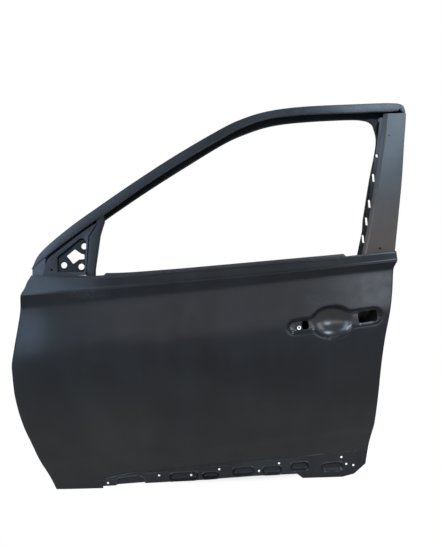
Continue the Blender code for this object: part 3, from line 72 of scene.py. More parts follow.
PLAN_BOW = 0.008
FRONT_TURN = 0.010
REAR_TURN = 0.003
FRONT_TURN_SHARE = 0.15
REAR_TURN_SHARE = 0.10
FRONT_EDGE_SHARES = (
    (-0.012, 0.088), (0.034, 0.078), (0.120, 0.056), (0.211, 0.037), (0.294, 0.019), (0.377, 0.007),
    (0.459, 0.001), (0.552, 0.000), (0.644, 0.010), (0.722, 0.021), (0.798, 0.031), (0.869, 0.037),
    (0.901, 0.048), (0.925, 0.054), (0.950, 0.064),
)
REAR_EDGE_SHARES = (
    (-0.012, 0.921), (0.126, 0.925), (0.215, 0.936), (0.362, 0.947), (0.529, 0.957), (0.626, 0.965),
    (0.769, 0.981), (0.854, 0.987), (0.923, 0.990), (0.965, 0.999), (1.000, 1.000),
)
LINE_STATION_SHARES = (0.00, 0.14, 0.24, 0.36, 0.55, 0.73, 0.86, 1.00)
LINE_HEIGHT_SHARES = (
    (-0.010, -0.010, -0.010, -0.010, -0.010, -0.010, -0.010, -0.010),
    (0.066, 0.080, 0.086, 0.090, 0.126, 0.151, 0.168, 0.186),
    (0.160, 0.165, 0.170, 0.180, 0.196, 0.228, 0.242, 0.256),
    (0.340, 0.350, 0.370, 0.380, 0.400, 0.430, 0.450, 0.470),
    (0.560, 0.590, 0.650, 0.636, 0.657, 0.689, 0.720, 0.743),
    (0.811, 0.824, 0.838, 0.850, 0.870, 0.893, 0.910, 0.927),
    (0.871, 0.881, 0.890, 0.903, 0.918, 0.935, 0.949, 0.961),
    (0.950, 0.941, 0.936, 0.942, 0.957, 0.972, 0.983, 1.000),
)
LINE_DEPTHS = (0.044, 0.036, 0.018, 0.006, 0.000, 0.009, 0.000, 0.021)
CREASE = 6
CREASE_SOFTNESS = 0.0035
CLADDING_LINE_SHARES = (
    (0.216, 0.030), (0.222, 0.038), (0.299, 0.062), (0.388, 0.071), (0.583, 0.096), (0.733, 0.109), (0.890, 0.125),
)
BELT_LIP = 0.006
BELT_ROUND = 0.0020

# Handle scoop: places along the grip are offsets from the bowl's middle.
# An aperture is (offset, length, height, corner radius).
SCOOP_X = 0.830 * SKIN_LENGTH
SCOOP_Z = 0.713 * BELT_HEIGHT
SCOOP_SET_BACK = 0.009
SCOOP_ROUND = 0.0022
GRIP_SLOPE = 0.105
GRIP_FRONT = -0.112
GRIP_REAR = 0.121
GRIP_FRONT_RADIUS = 0.016
GRIP_REAR_RADIUS = 0.023
GRIP_WALL_SLOPE = 1.15
BOWL_LENGTH = 0.128
BOWL_HEIGHT = 0.098
BOWL_DEPTH = 0.027
BOWL_LIP = 0.010
FRONT_APERTURE = (-0.089, 0.040, 0.026, 0.006)
REAR_APERTURE = (0.105, 0.056, 0.034, 0.007)
BUSH_OFFSET = -0.098
BUSH_DROP = 0.0055
BUSH_HEIGHT = 0.0055

# Frame, channels and mirror corner: depths are behind the frame's outer face.
# GROOVE moves the corner plate's edge, at the places ALONG_STRIP, away from the strip.
FRAME_FOOT_Y = 0.0285
FRAME_LEAN = 0.36
FRAME_LEAN_FROM = 0.940 * BELT_HEIGHT
FRAME_SIDE = 0.014
STRIP_WIDTH = 0.029
STRIP_RETURN = 0.010
HOOP_START = 0.005
HOOP_BACK = 0.032
HOOP_LIP = 0.010
HOOP_FRONT_LEG = 0.026
HOOP_REAR_LEG = 0.070
CHANNEL_FACE = 0.0055
CHANNEL_DEPTH = 0.018
REAR_CHANNEL_WIDTH = 0.022
PLATE_LIFT = 0.0010
FOOT_PLATE_LIFT = 0.0014
RIM_DEPTH = 0.0090
BACKING_SHEET = 0.0012
GROOVE = (0.0040, -0.0042)
ALONG_STRIP = (1, 2, 3, 4)
STUD_HOLE_RADIUS = 0.0088

# Meshes
NORMAL_STEP = 0.002
MERGE = 1e-6
SHARP_ANGLE = 40.0
BEND_ANGLE = 18.0
BEND_SEGMENTS = 4
STRAIGHT_ANGLE = math.radians(176)
LONGEST_RUN = 0.45
CURVE_SEGMENTS = 8


def cubic(knots, values, where):
    """Monotone cubic, for many curves at once: knots and values are (n, k), where is (n,)."""
    where = np.clip(where, knots[:, 0], knots[:, -1])
    steps = np.diff(knots, axis=1)
    slopes = np.diff(values, axis=1) / steps
    tangents = np.zeros_like(knots)
    left, right = slopes[:, :-1], slopes[:, 1:]
    ahead = 2 * steps[:, 1:] + steps[:, :-1]
    behind = steps[:, 1:] + 2 * steps[:, :-1]
    same = left * right > 0
    safe_left, safe_right = np.where(same, left, 1.0), np.where(same, right, 1.0)
    tangents[:, 1:-1] = np.where(same, (ahead + behind) / (ahead / safe_left + behind / safe_right), 0.0)
    tangents[:, 0], tangents[:, -1] = slopes[:, 0], slopes[:, -1]
    k = np.clip((knots <= where[:, None]).sum(axis=1) - 1, 0, knots.shape[1] - 2)
    row = np.arange(len(where))
    step = steps[row, k]
    t = (where - knots[row, k]) / step
    square, cube = t * t, t**3
    return (
        (2 * cube - 3 * square + 1) * values[row, k] + (cube - 2 * square + t) * step * tangents[row, k]
        + (3 * square - 2 * cube) * values[row, k + 1] + (cube - square) * step * tangents[row, k + 1]
    )


def along(pairs, where):
    knots, values = (np.array(column, float) for column in zip(*pairs))
    where = np.atleast_1d(np.asarray(where, float))
    return cubic(np.tile(knots, (len(where), 1)), np.tile(values, (len(where), 1)), where)


def front_edge(z):
    return SKIN_LENGTH * along(FRONT_EDGE_SHARES, np.asarray(z) / BELT_HEIGHT)


def rear_edge(z):
    return SKIN_LENGTH * along(REAR_EDGE_SHARES, np.asarray(z) / BELT_HEIGHT)


def line_heights(share):
    """Heights of the skin's lines at each share of its length, as (n, lines)."""
    share = np.atleast_1d(share)
    stations = np.tile(np.array(LINE_STATION_SHARES), (len(share), 1))
    return BELT_HEIGHT * np.stack(
        [cubic(stations, np.tile(np.array(line), (len(share), 1)), share) for line in LINE_HEIGHT_SHARES], axis=1,
    )


def plan_bow(x):
    share = np.clip(np.asarray(x) / SKIN_LENGTH, 0.0, 1.0)
    front = np.maximum(0.0, 1.0 - share / FRONT_TURN_SHARE)
    rear = np.maximum(0.0, 1.0 - (1.0 - share) / REAR_TURN_SHARE)
    return PLAN_BOW * (2 * share - 1) ** 2 + FRONT_TURN * front**2 + REAR_TURN * rear**2


def raw_skin_y(x, z):
    front, rear = front_edge(z), rear_edge(z)
    share = np.clip((x - front) / (rear - front), 0.0, 1.0)
    heights = line_heights(share)
    depths = np.tile(np.array(LINE_DEPTHS), (len(x), 1))
    low = cubic(heights[:, : CREASE + 1], depths[:, : CREASE + 1], z)
    high = cubic(heights[:, CREASE:], depths[:, CREASE:], z)
    return np.where(z > heights[:, CREASE], high, low) + plan_bow(x)


def skin_y(x, z):
    """Depth of the skin, its crease turned at the radius a press gives it."""
    x, z = np.atleast_1d(np.asarray(x, float)), np.atleast_1d(np.asarray(z, float))
    total, weight = np.zeros_like(x), 0.0
    for offset in np.linspace(-2.0, 2.0, 9):
        w = math.exp(-offset * offset / 2)
        total += w * raw_skin_y(x, z + offset * CREASE_SOFTNESS)
        weight += w
    return total / weight


def skin_inward(x, z):
    dx = (skin_y(x + NORMAL_STEP, z) - skin_y(x - NORMAL_STEP, z)) / (2 * NORMAL_STEP)
    dz = (skin_y(x, z + NORMAL_STEP) - skin_y(x, z - NORMAL_STEP)) / (2 * NORMAL_STEP)
    n = np.stack([-dx, np.ones_like(dx), -dz], axis=1)
    return n / np.linalg.norm(n, axis=1, keepdims=True)


def skin_points(x, z, depth=0.0):
    x, z = np.atleast_1d(np.asarray(x, float)), np.atleast_1d(np.asarray(z, float))
    base = np.stack([x, skin_y(x, z), z], axis=1)
    return base + skin_inward(x, z) * depth if depth else base


def on_grip(offset):
    return SCOOP_X + offset, SCOOP_Z + GRIP_SLOPE * offset


def capsule_distance(x, z, start, end, start_radius, end_radius):
    """Signed distance to a tapering capsule's outline, in the plane of the side view: negative inside."""
    start, end = np.array(start), np.array(end)
    way = end - start
    t = np.clip(((x - start[0]) * way[0] + (z - start[1]) * way[1]) / way.dot(way), 0.0, 1.0)
    near = np.hypot(x - start[0] - t * way[0], z - start[1] - t * way[1])
    return near - (start_radius + t * (end_radius - start_radius))


def on_line(line, at):
    """Value at a place on a line of (place, value), by straight runs."""
    return np.interp(at, *np.array(line, float).T)


SCOOP_FLOOR = float(raw_skin_y(np.array([SCOOP_X]), np.array([SCOOP_Z]))[0]) + SCOOP_SET_BACK


# Meshes


def inside(outline, x, z):
    """Which of the points lie inside the closed outline."""
    outline = np.asarray(outline, float)
    found = np.zeros(len(x), bool)
    for (x0, z0), (x1, z1) in zip(outline, np.roll(outline, -1, axis=0)):
        crosses = (z0 > z) != (z1 > z)
        with np.errstate(divide="ignore", invalid="ignore"):
            found ^= crosses & (x < (x1 - x0) * (z - z0) / (z1 - z0) + x0)
    return found


def nearest_on(outline, x, z):
    best = None
    for start, end in zip(outline, outline[1:] + outline[:1]):
        start, way = Vector(start), Vector(end) - Vector(start)
        t = min(max((Vector((x, z)) - start).dot(way) / max(way.length_squared, 1e-12), 0.0), 1.0)
        place = start + way * t
        gap = (Vector((x, z)) - place).length
        if best is None or gap < best[0]:
            best = (gap, place)
    return best[1]


def open_hole(bm, outline, depth_at):
    """Opens the sheet along an outline: faces inside it go, and the edge that is left is drawn onto it."""

    def door_place(vert):
        return vert.co.x + ORIGIN[0], vert.co.z + ORIGIN[2]

    x, z = np.array([door_place(vert) for vert in bm.verts]).T
    within = {vert for vert, hit in zip(bm.verts, inside(outline, x, z)) if hit}
    doomed = {face for face in bm.faces if sum(vert in within for vert in face.verts) * 2 >= len(face.verts)}
    rim = {vert for face in doomed for vert in face.verts if any(other not in doomed for other in vert.link_faces)}
    bmesh.ops.delete(bm, geom=list(doomed), context="FACES")
    for vert in rim:
        place = nearest_on(outline, *door_place(vert))
        depth = depth_at(np.array([place.x]), np.array([place.y]))[0]
        vert.co = Vector((place.x, depth, place.y)) - Vector(ORIGIN)


def written(name, bm, faces_to=None):
    """Mesh from a bmesh, its faces turned outwards, or to the side that faces_to names."""
    bmesh.ops.recalc_face_normals(bm, faces=bm.faces)
    if faces_to:
        toward = sum((face.normal * face.calc_area() for face in bm.faces), Vector())
        if toward.dot(Vector(faces_to)) < 0:
            bmesh.ops.reverse_faces(bm, faces=bm.faces)
    mesh = bpy.data.meshes.new(name)
    bm.to_mesh(mesh)
    bm.free()
    return mesh


def add_object(name, mesh, coat):
    made = bpy.data.objects.new(name, mesh)
    bpy.context.scene.collection.objects.link(made)
    mesh.materials.append(coat)
    return made


def apply_modifiers(made):
    depsgraph = bpy.context.evaluated_depsgraph_get()
    depsgraph.update()
    mesh = bpy.data.meshes.new_from_object(made.evaluated_get(depsgraph), depsgraph=depsgraph)
    old = made.data
    made.modifiers.clear()
    made.data = mesh
    bpy.data.meshes.remove(old)


def round_edges(made, width):
    change = made.modifiers.new("bends", "BEVEL")
    change.width, change.segments = width, BEND_SEGMENTS
    change.limit_method, change.angle_limit = "ANGLE", math.radians(BEND_ANGLE)


def thicken(made, thickness):
    shell = made.modifiers.new("sheet", "SOLIDIFY")
    shell.thickness = thickness
    shell.offset = -1.0
    shell.use_even_offset = False
    apply_modifiers(made)


def finish_mesh(made, sharp=SHARP_ANGLE):
    made.data.shade_smooth()
    made.data.set_sharp_from_angle(angle=math.radians(sharp))


def grid_object(
    name, grid, coat, thickness=SHEET, faces_to=(0, -1, 0), sharp=SHARP_ANGLE, holes=(), depth_at=None, bevel=0.0,
    fill_last=False,
):
    """Sheet from a grid of points in door axes, (rows, columns, 3). The grid is the side that faces_to names."""
    grid = np.asarray(grid, float) - ORIGIN
    rows, columns = grid.shape[:2]
    index = np.arange(rows * columns).reshape(rows, columns)
    quads = np.stack([index[:-1, :-1], index[:-1, 1:], index[1:, 1:], index[1:, :-1]], axis=-1).reshape(-1, 4)
    bm = bmesh.new()
    verts = [bm.verts.new(point) for point in grid.reshape(-1, 3)]
    for quad in quads:
        bm.faces.new([verts[i] for i in quad])
    if fill_last:
        bm.faces.new([verts[i] for i in index[:, -1]])
    bmesh.ops.remove_doubles(bm, verts=bm.verts, dist=MERGE)
    for outline in holes:
        open_hole(bm, outline, depth_at)
    made = add_object(name, written(name, bm, faces_to), coat)
    if bevel:
        round_edges(made, bevel)
    if thickness:
        thicken(made, thickness)
    finish_mesh(made, sharp)
    return made


def add_prism(bm, outline, low, high, axis):
    """Closed prism of an outline, from low to high along the axis."""
    across = axis == "Y"
    places = [(a, low, b) if across else (low, a, b) for a, b in outline]
    face = bm.faces.new([bm.verts.new(Vector(place) - Vector(ORIGIN)) for place in places])
    grown = bmesh.ops.extrude_face_region(bm, geom=[face])["geom"]
    way = (high - low) * Vector((0.0, 1.0, 0.0) if across else (1.0, 0.0, 0.0))
    bmesh.ops.translate(bm, vec=way, verts=[item for item in grown if isinstance(item, bmesh.types.BMVert)])


def cut(made, groups):
    """Cuts a finished sheet in one pass. A group is (outlines, low, high, axis), and no two prisms touch."""
    bm = bmesh.new()
    for outlines, low, high, axis in groups:
        for outline in outlines:
            add_prism(bm, outline, low, high, axis)
    tool = bpy.data.objects.new("cut", written("cut", bm))
    bpy.context.scene.collection.objects.link(tool)
    change = made.modifiers.new("cut", "BOOLEAN")
    change.operation = "DIFFERENCE"
    change.object = tool
    apply_modifiers(made)
    bpy.data.objects.remove(tool, do_unlink=True)
    finish_mesh(made)


# Outlines and sections


def circle(centre, radius, segments=32):
    turns = [2 * math.pi * step / segments for step in range(segments)]
    return [(centre[0] + radius * math.cos(turn), centre[1] + radius * math.sin(turn)) for turn in turns]


def turned_corner(before, corner, after, radius, steps):
    """Points of the arc that turns a corner at a radius, which shrinks where a run is short."""
    to_last, to_next = before - corner, after - corner
    half = to_last.angle(to_next) / 2
    run = min(radius / math.tan(half), to_last.length * LONGEST_RUN, to_next.length * LONGEST_RUN)
    radius = run * math.tan(half)
    start, end = corner + to_last.normalized() * run, corner + to_next.normalized() * run
    centre = corner + (to_last.normalized() + to_next.normalized()).normalized() * radius / math.sin(half)
    spokes = [(start - centre).lerp(end - centre, step / steps).normalized() for step in range(steps + 1)]
    return [tuple(centre + spoke * radius) for spoke in spokes]


def rounded(corners, radius, steps=8):
    """Closed outline with every corner turned."""
    points = [Vector(corner) for corner in corners]
    outline = []
    for before, corner, after in zip(points[-1:] + points[:-1], points, points[1:] + points[:1]):
        outline += turned_corner(before, corner, after, radius, steps)
    return outline


def section(corners, radius, steps=5, straight=STRAIGHT_ANGLE):
    """Open run of 2-D or 3-D corners, each inner one turned by as many points unless it is as good as straight."""
    points = [Vector(corner) for corner in corners]
    row = [tuple(points[0])]
    for before, corner, after in zip(points, points[1:], points[2:]):
        if (before - corner).angle(after - corner) > straight:
            row += [tuple(corner)] * (steps + 1)
        else:
            row += turned_corner(before, corner, after, radius, steps)
    return row + [tuple(points[-1])]


def section_loft(lines, radius, steps=5):
    """Rows of turned sections across lines that run side by side."""
    return np.array([section(corners, radius, steps) for corners in np.stack(lines, axis=1)])


def slot_outline(centre, length, height, radius, lean=0.0):
    way = Vector((1.0, lean)).normalized()
    across = Vector((-way.y, way.x))
    return rounded([
        tuple(Vector(centre) + way * i * length / 2 + across * j * height / 2)
        for i, j in ((-1, -1), (1, -1), (1, 1), (-1, 1))
    ], radius)


def curve_through(places, segments=CURVE_SEGMENTS):
    points = [np.array(place, float) for place in places]
    padded = [2 * points[0] - points[1]] + points + [2 * points[-1] - points[-2]]
    curve = []
    for a, b, c, d in zip(padded, padded[1:], padded[2:], padded[3:]):
        for step in range(segments):
            t = step / segments
            curve.append(b + ((c - a) * t + (2 * a - 5 * b + 4 * c - d) * t * t + (3 * b - a - 3 * c + d) * t**3) / 2)
    return np.array(curve + [points[-1]])


def interpolated(values):
    """A value for each point that curve_through makes of as many places."""
    places = np.arange((len(values) - 1) * CURVE_SEGMENTS + 1) / CURVE_SEGMENTS
    return np.interp(places, np.arange(len(values)), values)


def offset_line(points, distances):
    """The line moved to its right-hand side by a distance at each point."""
    points = np.asarray(points, float)
    distances = np.broadcast_to(distances, len(points))
    ways = np.diff(points, axis=0)
    ways /= np.linalg.norm(ways, axis=1, keepdims=True)
    turns = np.stack([ways[:, 1], -ways[:, 0]], axis=1)
    before, after = np.vstack([turns[:1], turns]), np.vstack([turns, turns[-1:]])
    middle = before + after
    middle /= np.linalg.norm(middle, axis=1, keepdims=True)
    reach = distances / np.clip((middle * before).sum(axis=1), 0.4, 1.0)
    return points + middle * reach[:, None]


# Materials


def fill(tree, made, inputs):
    """Gives a node's inputs constants, or links other sockets to them."""
    for key, value in inputs.items():
        if isinstance(value, bpy.types.NodeSocket):
            tree.links.new(value, made.inputs[key])
        else:
            made.inputs[key].default_value = value


def node(tree, kind, inputs=None, **settings):
    made = tree.nodes.new(kind)
    for key, value in settings.items():
        setattr(made, key, value)
    fill(tree, made, inputs or {})
    return made


def new_material(name):
    made = bpy.data.materials.new(name)
    made.use_nodes = True
    tree = made.node_tree
    return made, tree, tree.nodes["Principled BSDF"], node(tree, "ShaderNodeTexCoord").outputs["Object"]


def object_noise(tree, coords, scale, detail=3.0, roughness=0.55, stretch=(1.0, 1.0, 1.0)):
    mapping = node(tree, "ShaderNodeMapping", {"Vector": coords, "Scale": stretch})
    inputs = {"Vector": mapping.outputs["Vector"], "Scale": scale, "Detail": detail, "Roughness": roughness}
    return node(tree, "ShaderNodeTexNoise", inputs).outputs["Fac"]


def ramp(tree, value, low, high, out_low=0.0, out_high=1.0):
    """The value, taken smoothly from the range low to high onto out_low to out_high."""
    inputs = {"Value": value, "From Min": low, "From Max": high, "To Min": out_low, "To Max": out_high}
    return node(tree, "ShaderNodeMapRange", inputs, interpolation_type="SMOOTHSTEP").outputs["Result"]


def maths(tree, operation, a, b):
    return node(tree, "ShaderNodeMath", {0: a, 1: b}, operation=operation).outputs["Value"]


def mix_colour(tree, factor, a, b):
    a, b = ((*colour, 1.0) if isinstance(colour, tuple) else colour for colour in (a, b))
    return node(tree, "ShaderNodeMix", {"Factor": factor, 6: a, 7: b}, data_type="RGBA").outputs[2]


def mix_shader(tree, factor, a, b):
    return node(tree, "ShaderNodeMixShader", {"Fac": factor, 1: a, 2: b}).outputs["Shader"]


def bumps(tree, height, strength, distance):
    inputs = {"Height": height, "Strength": strength, "Distance": distance}
    return node(tree, "ShaderNodeBump", inputs).outputs["Normal"]


def reach(tree, coords, centre, radii):
    """Distance from a place in the row's frame, as a share of the radii."""
    way = node(tree, "ShaderNodeVectorMath", {0: coords, 1: centre}, operation="SUBTRACT").outputs["Vector"]
    scaled = node(tree, "ShaderNodeVectorMath", {0: way, 1: radii}, operation="DIVIDE").outputs["Vector"]
    return node(tree, "ShaderNodeVectorMath", {0: scaled}, operation="LENGTH").outputs["Value"]


def one_axis(tree, coords, axis):
    return node(tree, "ShaderNodeSeparateXYZ", {"Vector": coords}).outputs[axis]


def spot(tree, coords, centre, radii, scale, threshold):
    """A worn patch: noise inside a soft ellipse round a place given in the row's frame."""
    near = ramp(tree, reach(tree, coords, centre, radii), 1.0, 0.35)
    speckle = ramp(tree, object_noise(tree, coords, scale, 5.0, 0.7), threshold, threshold + 0.12)
    return maths(tree, "MULTIPLY", near, speckle)


def dip_coat(name, dark, light, rough, dust, spots=(), specular=0.12, gloss=0.03, film=None, polish=None):
    """Baked dip coat: satin, with a faint flow mottle, orange peel, settled dust and rub marks.

    film is dust that thickens downwards: (z where it starts, z where it is full, strength, colour).
    polish is a recess that hands have rubbed glossy: (centre, radii, y where it starts, gloss there).
    """
    made, tree, shader, coords = new_material(name)
    cloud = object_noise(tree, coords, 5.0, 4.0)
    run = object_noise(tree, coords, 14.0, 3.0, 0.5, (1.0, 1.0, 0.22))
    flow = maths(tree, "ADD", maths(tree, "MULTIPLY", cloud, 0.65), maths(tree, "MULTIPLY", run, 0.35))
    base = mix_colour(tree, ramp(tree, flow, 0.36, 0.64), dark, light)
    if film:
        start, full, strength, colour = film
        patchy = ramp(tree, object_noise(tree, coords, 3.2, 4.0, 0.6), 0.30, 0.70, 0.55 * strength, strength)
        thick = ramp(tree, one_axis(tree, coords, "Z"), start, full)
        base = mix_colour(tree, maths(tree, "MULTIPLY", thick, patchy), base, colour)
    powder = ramp(tree, object_noise(tree, coords, 260.0, 6.0, 0.75), 0.56, 0.74)
    drift = ramp(tree, object_noise(tree, coords, 7.0, 3.0, 0.6), 0.45, 0.70)
    haze = maths(tree, "MULTIPLY", maths(tree, "MULTIPLY", powder, drift), dust)
    for centre, radii, scale, threshold, strength in spots:
        mark = maths(tree, "MULTIPLY", spot(tree, coords, centre, radii, scale, threshold), strength)
        haze = maths(tree, "MAXIMUM", haze, mark)
    grain = object_noise(tree, coords, 45.0, 4.0, 0.6)
    grain = ramp(tree, grain, 0.35, 0.65, rough - ROUGHNESS_SPREAD, rough + ROUGHNESS_SPREAD)
    fill(tree, shader, {
        "Base Color": mix_colour(tree, haze, base, DUST_COLOUR),
        "Roughness": maths(tree, "ADD", grain, maths(tree, "MULTIPLY", haze, 0.25)),
        "Normal": bumps(tree, object_noise(tree, coords, 260.0, 2.0, 0.5), 0.05, 0.0002),
        "Specular IOR Level": specular,
        "Coat Weight": gloss,
        "Coat Roughness": 0.14,
    })
    if polish:
        centre, radii, start, level = polish
        deep = ramp(tree, one_axis(tree, coords, "Y"), start, start + 0.003)
        within = maths(tree, "MULTIPLY", ramp(tree, reach(tree, coords, centre, radii), 1.0, 0.85), deep)
        shine = maths(tree, "ADD", maths(tree, "MULTIPLY", within, level - specular), specular)
        fill(tree, shader, {"Specular IOR Level": shine})
    return made


def plated(name, colour, rough, scale):
    made, tree, shader, coords = new_material(name)
    stain = ramp(tree, object_noise(tree, coords, scale, 4.0, 0.6), 0.40, 0.66)
    fill(tree, shader, {
        "Base Color": mix_colour(tree, stain, colour, tuple(c * 0.72 for c in colour)),
        "Roughness": ramp(tree, object_noise(tree, coords, scale * 3), 0.3, 0.7, rough - 0.08, rough + 0.08),
        "Metallic": 0.95,
    })
    return made


def mastic(name):
    made, tree, shader, coords = new_material(name)
    lump = object_noise(tree, coords, 60.0, 4.0, 0.6)
    fill(tree, shader, {
        "Base Color": mix_colour(tree, ramp(tree, lump, 0.35, 0.65), (0.055, 0.053, 0.050), (0.105, 0.10, 0.093)),
        "Roughness": 0.88,
        "Normal": bumps(tree, lump, 0.5, 0.0015),
    })
    return made


def in_row(x, y, z):
    return tuple(np.array((x, y, z)) - ORIGIN)


DUST_COLOUR = (0.13, 0.125, 0.12)
ROUGHNESS_SPREAD = 0.018
SKIN_MARKS = (
    (in_row(0.235, 0.010, 0.605), (0.085, 0.06, 0.020), 420.0, 0.53, 0.22),
    (in_row(0.905, 0.010, 0.565), (0.070, 0.06, 0.022), 460.0, 0.54, 0.22),
    (in_row(0.780, 0.010, 0.640), (0.120, 0.06, 0.014), 480.0, 0.58, 0.14),
    (in_row(0.300, 0.040, 0.030), (0.220, 0.06, 0.022), 400.0, 0.58, 0.14),
)
BODY_FILM = (0.00, -0.44, 0.27, (0.040, 0.036, 0.027))
PILLAR_FILM = (0.44, 0.24, 0.52, (0.041, 0.026, 0.017))
SCOOP_POLISH = (in_row(SCOOP_X, SCOOP_FLOOR, SCOOP_Z), (0.150, 0.080, 0.056), SCOOP_FLOOR - 0.004 - ORIGIN[1], 0.36)
SKIN_COAT = dip_coat(
    "skin_dip_coat", (0.0034, 0.0037, 0.0045), (0.0056, 0.0060, 0.0070), 0.25, 0.04, SKIN_MARKS, gloss=0.0,
    film=BODY_FILM, polish=SCOOP_POLISH,
)
FRAME_COAT = dip_coat("frame_dip_coat", (0.0060, 0.0067, 0.0085), (0.0100, 0.0112, 0.0136), 0.27, 0.06)
CORNER_COAT = dip_coat(
    "corner_dip_coat", (0.0060, 0.0066, 0.0080), (0.0100, 0.0110, 0.0130), 0.30, 0.06, specular=0.08,
)
PILLAR_COAT = dip_coat(
    "pillar_dip_coat", (0.0100, 0.0110, 0.0130), (0.0150, 0.0160, 0.0180), 0.34, 0.08, specular=0.19,
    film=PILLAR_FILM,
)
INSIDE_COAT = dip_coat(
    "inside_dip_coat", (0.0060, 0.0063, 0.0070), (0.0100, 0.0104, 0.0112), 0.30, 0.12, specular=0.16,
)
# Painted shade: the same dip coat made darker and less glossy, for the frame's inner hoop, the mirror reinforcement
# and the rear glass channel, which lie in shade behind the outer stampings.
PAINTED_SHADE_COAT = dip_coat(
    "painted_shade_dip_coat", (0.0026, 0.0028, 0.0031), (0.0045, 0.0047, 0.0051), 0.24, 0.05, specular=0.06,
)
ZINC = plated("zinc_plate_finish", (0.66, 0.66, 0.64), 0.30, 180.0)
MASTIC = mastic("mastic_finish")


# Skin


SKIN_ROW_STEPS = (8, 10, 20, 44, 34, 14, 14)
SKIN_COLUMN_RUNS = (
    (0.0, 0.05, 8), (0.05, 0.19, 16), (0.19, 0.24, 14), (0.24, 0.70, 52), (0.70, 0.955, 120), (0.955, 1.0, 10),
)
HEM_LANDING = 0.006


def door_places(shares):
    return [(a * SKIN_LENGTH, b * BELT_HEIGHT) for a, b in shares]


def fine_rows(share, steps):
    """Heights of the fine rows at each share, as (rows, n), from even steps between the skin's lines."""
    heights = line_heights(share)
    rows = []
    for line in range(heights.shape[1] - 1):
        for step in range(steps[line]):
            t = step / steps[line]
            rows.append(heights[:, line] * (1 - t) + heights[:, line + 1] * t)
    return np.array(rows + [heights[:, -1]])


def cladding_z(x):
    """Height of the skin's lower edge, where the sill cladding starts."""
    start, *rest = door_places(CLADDING_LINE_SHARES)
    return on_line([(start[0] - 0.0015, -0.03), start, *curve_through(rest, 6)], x)


def skin_depth(x, z):
    return scooped(x, skin_y(x, z), z)


def smooth_max(a, b, softness):
    return (a + b + np.sqrt((a - b) ** 2 + softness**2)) / 2


def scooped(x, y, z):
    """The skin's depth with the handle scoop pressed into it."""
    distance = capsule_distance(x, z, on_grip(GRIP_FRONT), on_grip(GRIP_REAR), GRIP_FRONT_RADIUS, GRIP_REAR_RADIUS)
    wall = GRIP_WALL_SLOPE * np.maximum(distance + 0.004, 0.0)
    bar = SCOOP_FLOOR - wall - 0.0004 * np.minimum(np.abs(distance), 0.02) / 0.02
    tall = BOWL_DEPTH + BOWL_LIP
    spread = 1.0 / math.sqrt(1.0 - (BOWL_LIP / tall) ** 2)
    a, b = BOWL_LENGTH / 2 * spread, BOWL_HEIGHT / 2 * spread
    e = ((x - SCOOP_X) / a) ** 2 + ((z - SCOOP_Z) / b) ** 2
    centre_y = SCOOP_FLOOR - SCOOP_SET_BACK - BOWL_LIP
    bowl = centre_y + tall * np.sqrt(np.clip(1.0 - e, 0.0, 1.0)) - 0.05 * np.maximum(e - 1.0, 0.0)
    near = np.maximum(smooth_max(bar, bowl, 0.0030), y - 0.05)
    return smooth_max(y, near, SCOOP_ROUND)


def skin_column(share, inset=0.0, depth=0.0):
    """Points of the skin from foot to belt at a share of its length, and the lip turned in along the belt."""
    z = fine_rows(np.array([share]), SKIN_ROW_STEPS)[:, 0]
    for _ in range(2):
        front, rear = front_edge(z), rear_edge(z)
        x = front + share * (rear - front) + inset
        z = np.maximum(z, cladding_z(x))
    points = skin_points(x, z, depth)
    if not depth:
        points[:, 1] = scooped(*points.T)
    fade = np.clip((share - 0.085) / 0.03, 0.0, 1.0) * np.clip((0.93 - share) / 0.03, 0.0, 1.0)
    turn = [
        points[-1] + fade * BELT_ROUND * np.array((0.0, 1 - math.cos(angle), math.sin(angle) - 0.4))
        for angle in np.linspace(0.0, math.pi / 2, 6)[1:]
    ]
    return np.vstack([points, turn, turn[-1] + fade * np.array((0.0, BELT_LIP - BELT_ROUND, 0.0))])


def skin_hem(share):
    """Columns of a hem, from its edge under the skin, round the fold and onto the face."""
    way = 1.0 if share == 0.0 else -1.0
    places = [(HEM_WIDTH, 2 * HEM_RADIUS)]
    for angle in np.linspace(0.0, math.pi, 9):
        places.append((HEM_RADIUS * (1 - math.sin(angle)), HEM_RADIUS * (1 + math.cos(angle)) + MERGE / 10))
    places.append((HEM_LANDING, 0.0))
    return [skin_column(share, way * inset, depth) for inset, depth in places]


def build_skin():
    shares = np.concatenate([np.linspace(*run)[1:] for run in SKIN_COLUMN_RUNS])[:-2]
    columns = skin_hem(0.0) + [skin_column(share) for share in shares] + skin_hem(1.0)[::-1]
    holes = [slot_outline(on_grip(offset), *size, GRIP_SLOPE) for offset, *size in (FRONT_APERTURE, REAR_APERTURE)]
    return grid_object("outer_panel_stamping", columns, SKIN_COAT, holes=holes, depth_at=skin_depth)


# Window frame


def frame_y(x, z):
    return FRAME_FOOT_Y + FRAME_LEAN * np.maximum(0.0, np.asarray(z) - FRAME_LEAN_FROM) + plan_bow(x)


def frame_places(shares):
    return [(a * SKIN_LENGTH, BELT_HEIGHT + b * FRAME_HEIGHT) for a, b in shares]


def frame_line(places, depth):
    places = np.asarray(places, float)
    x, z = places[:, 0], places[:, 1]
    return np.stack([x, frame_y(x, z) + depth, z], axis=1)


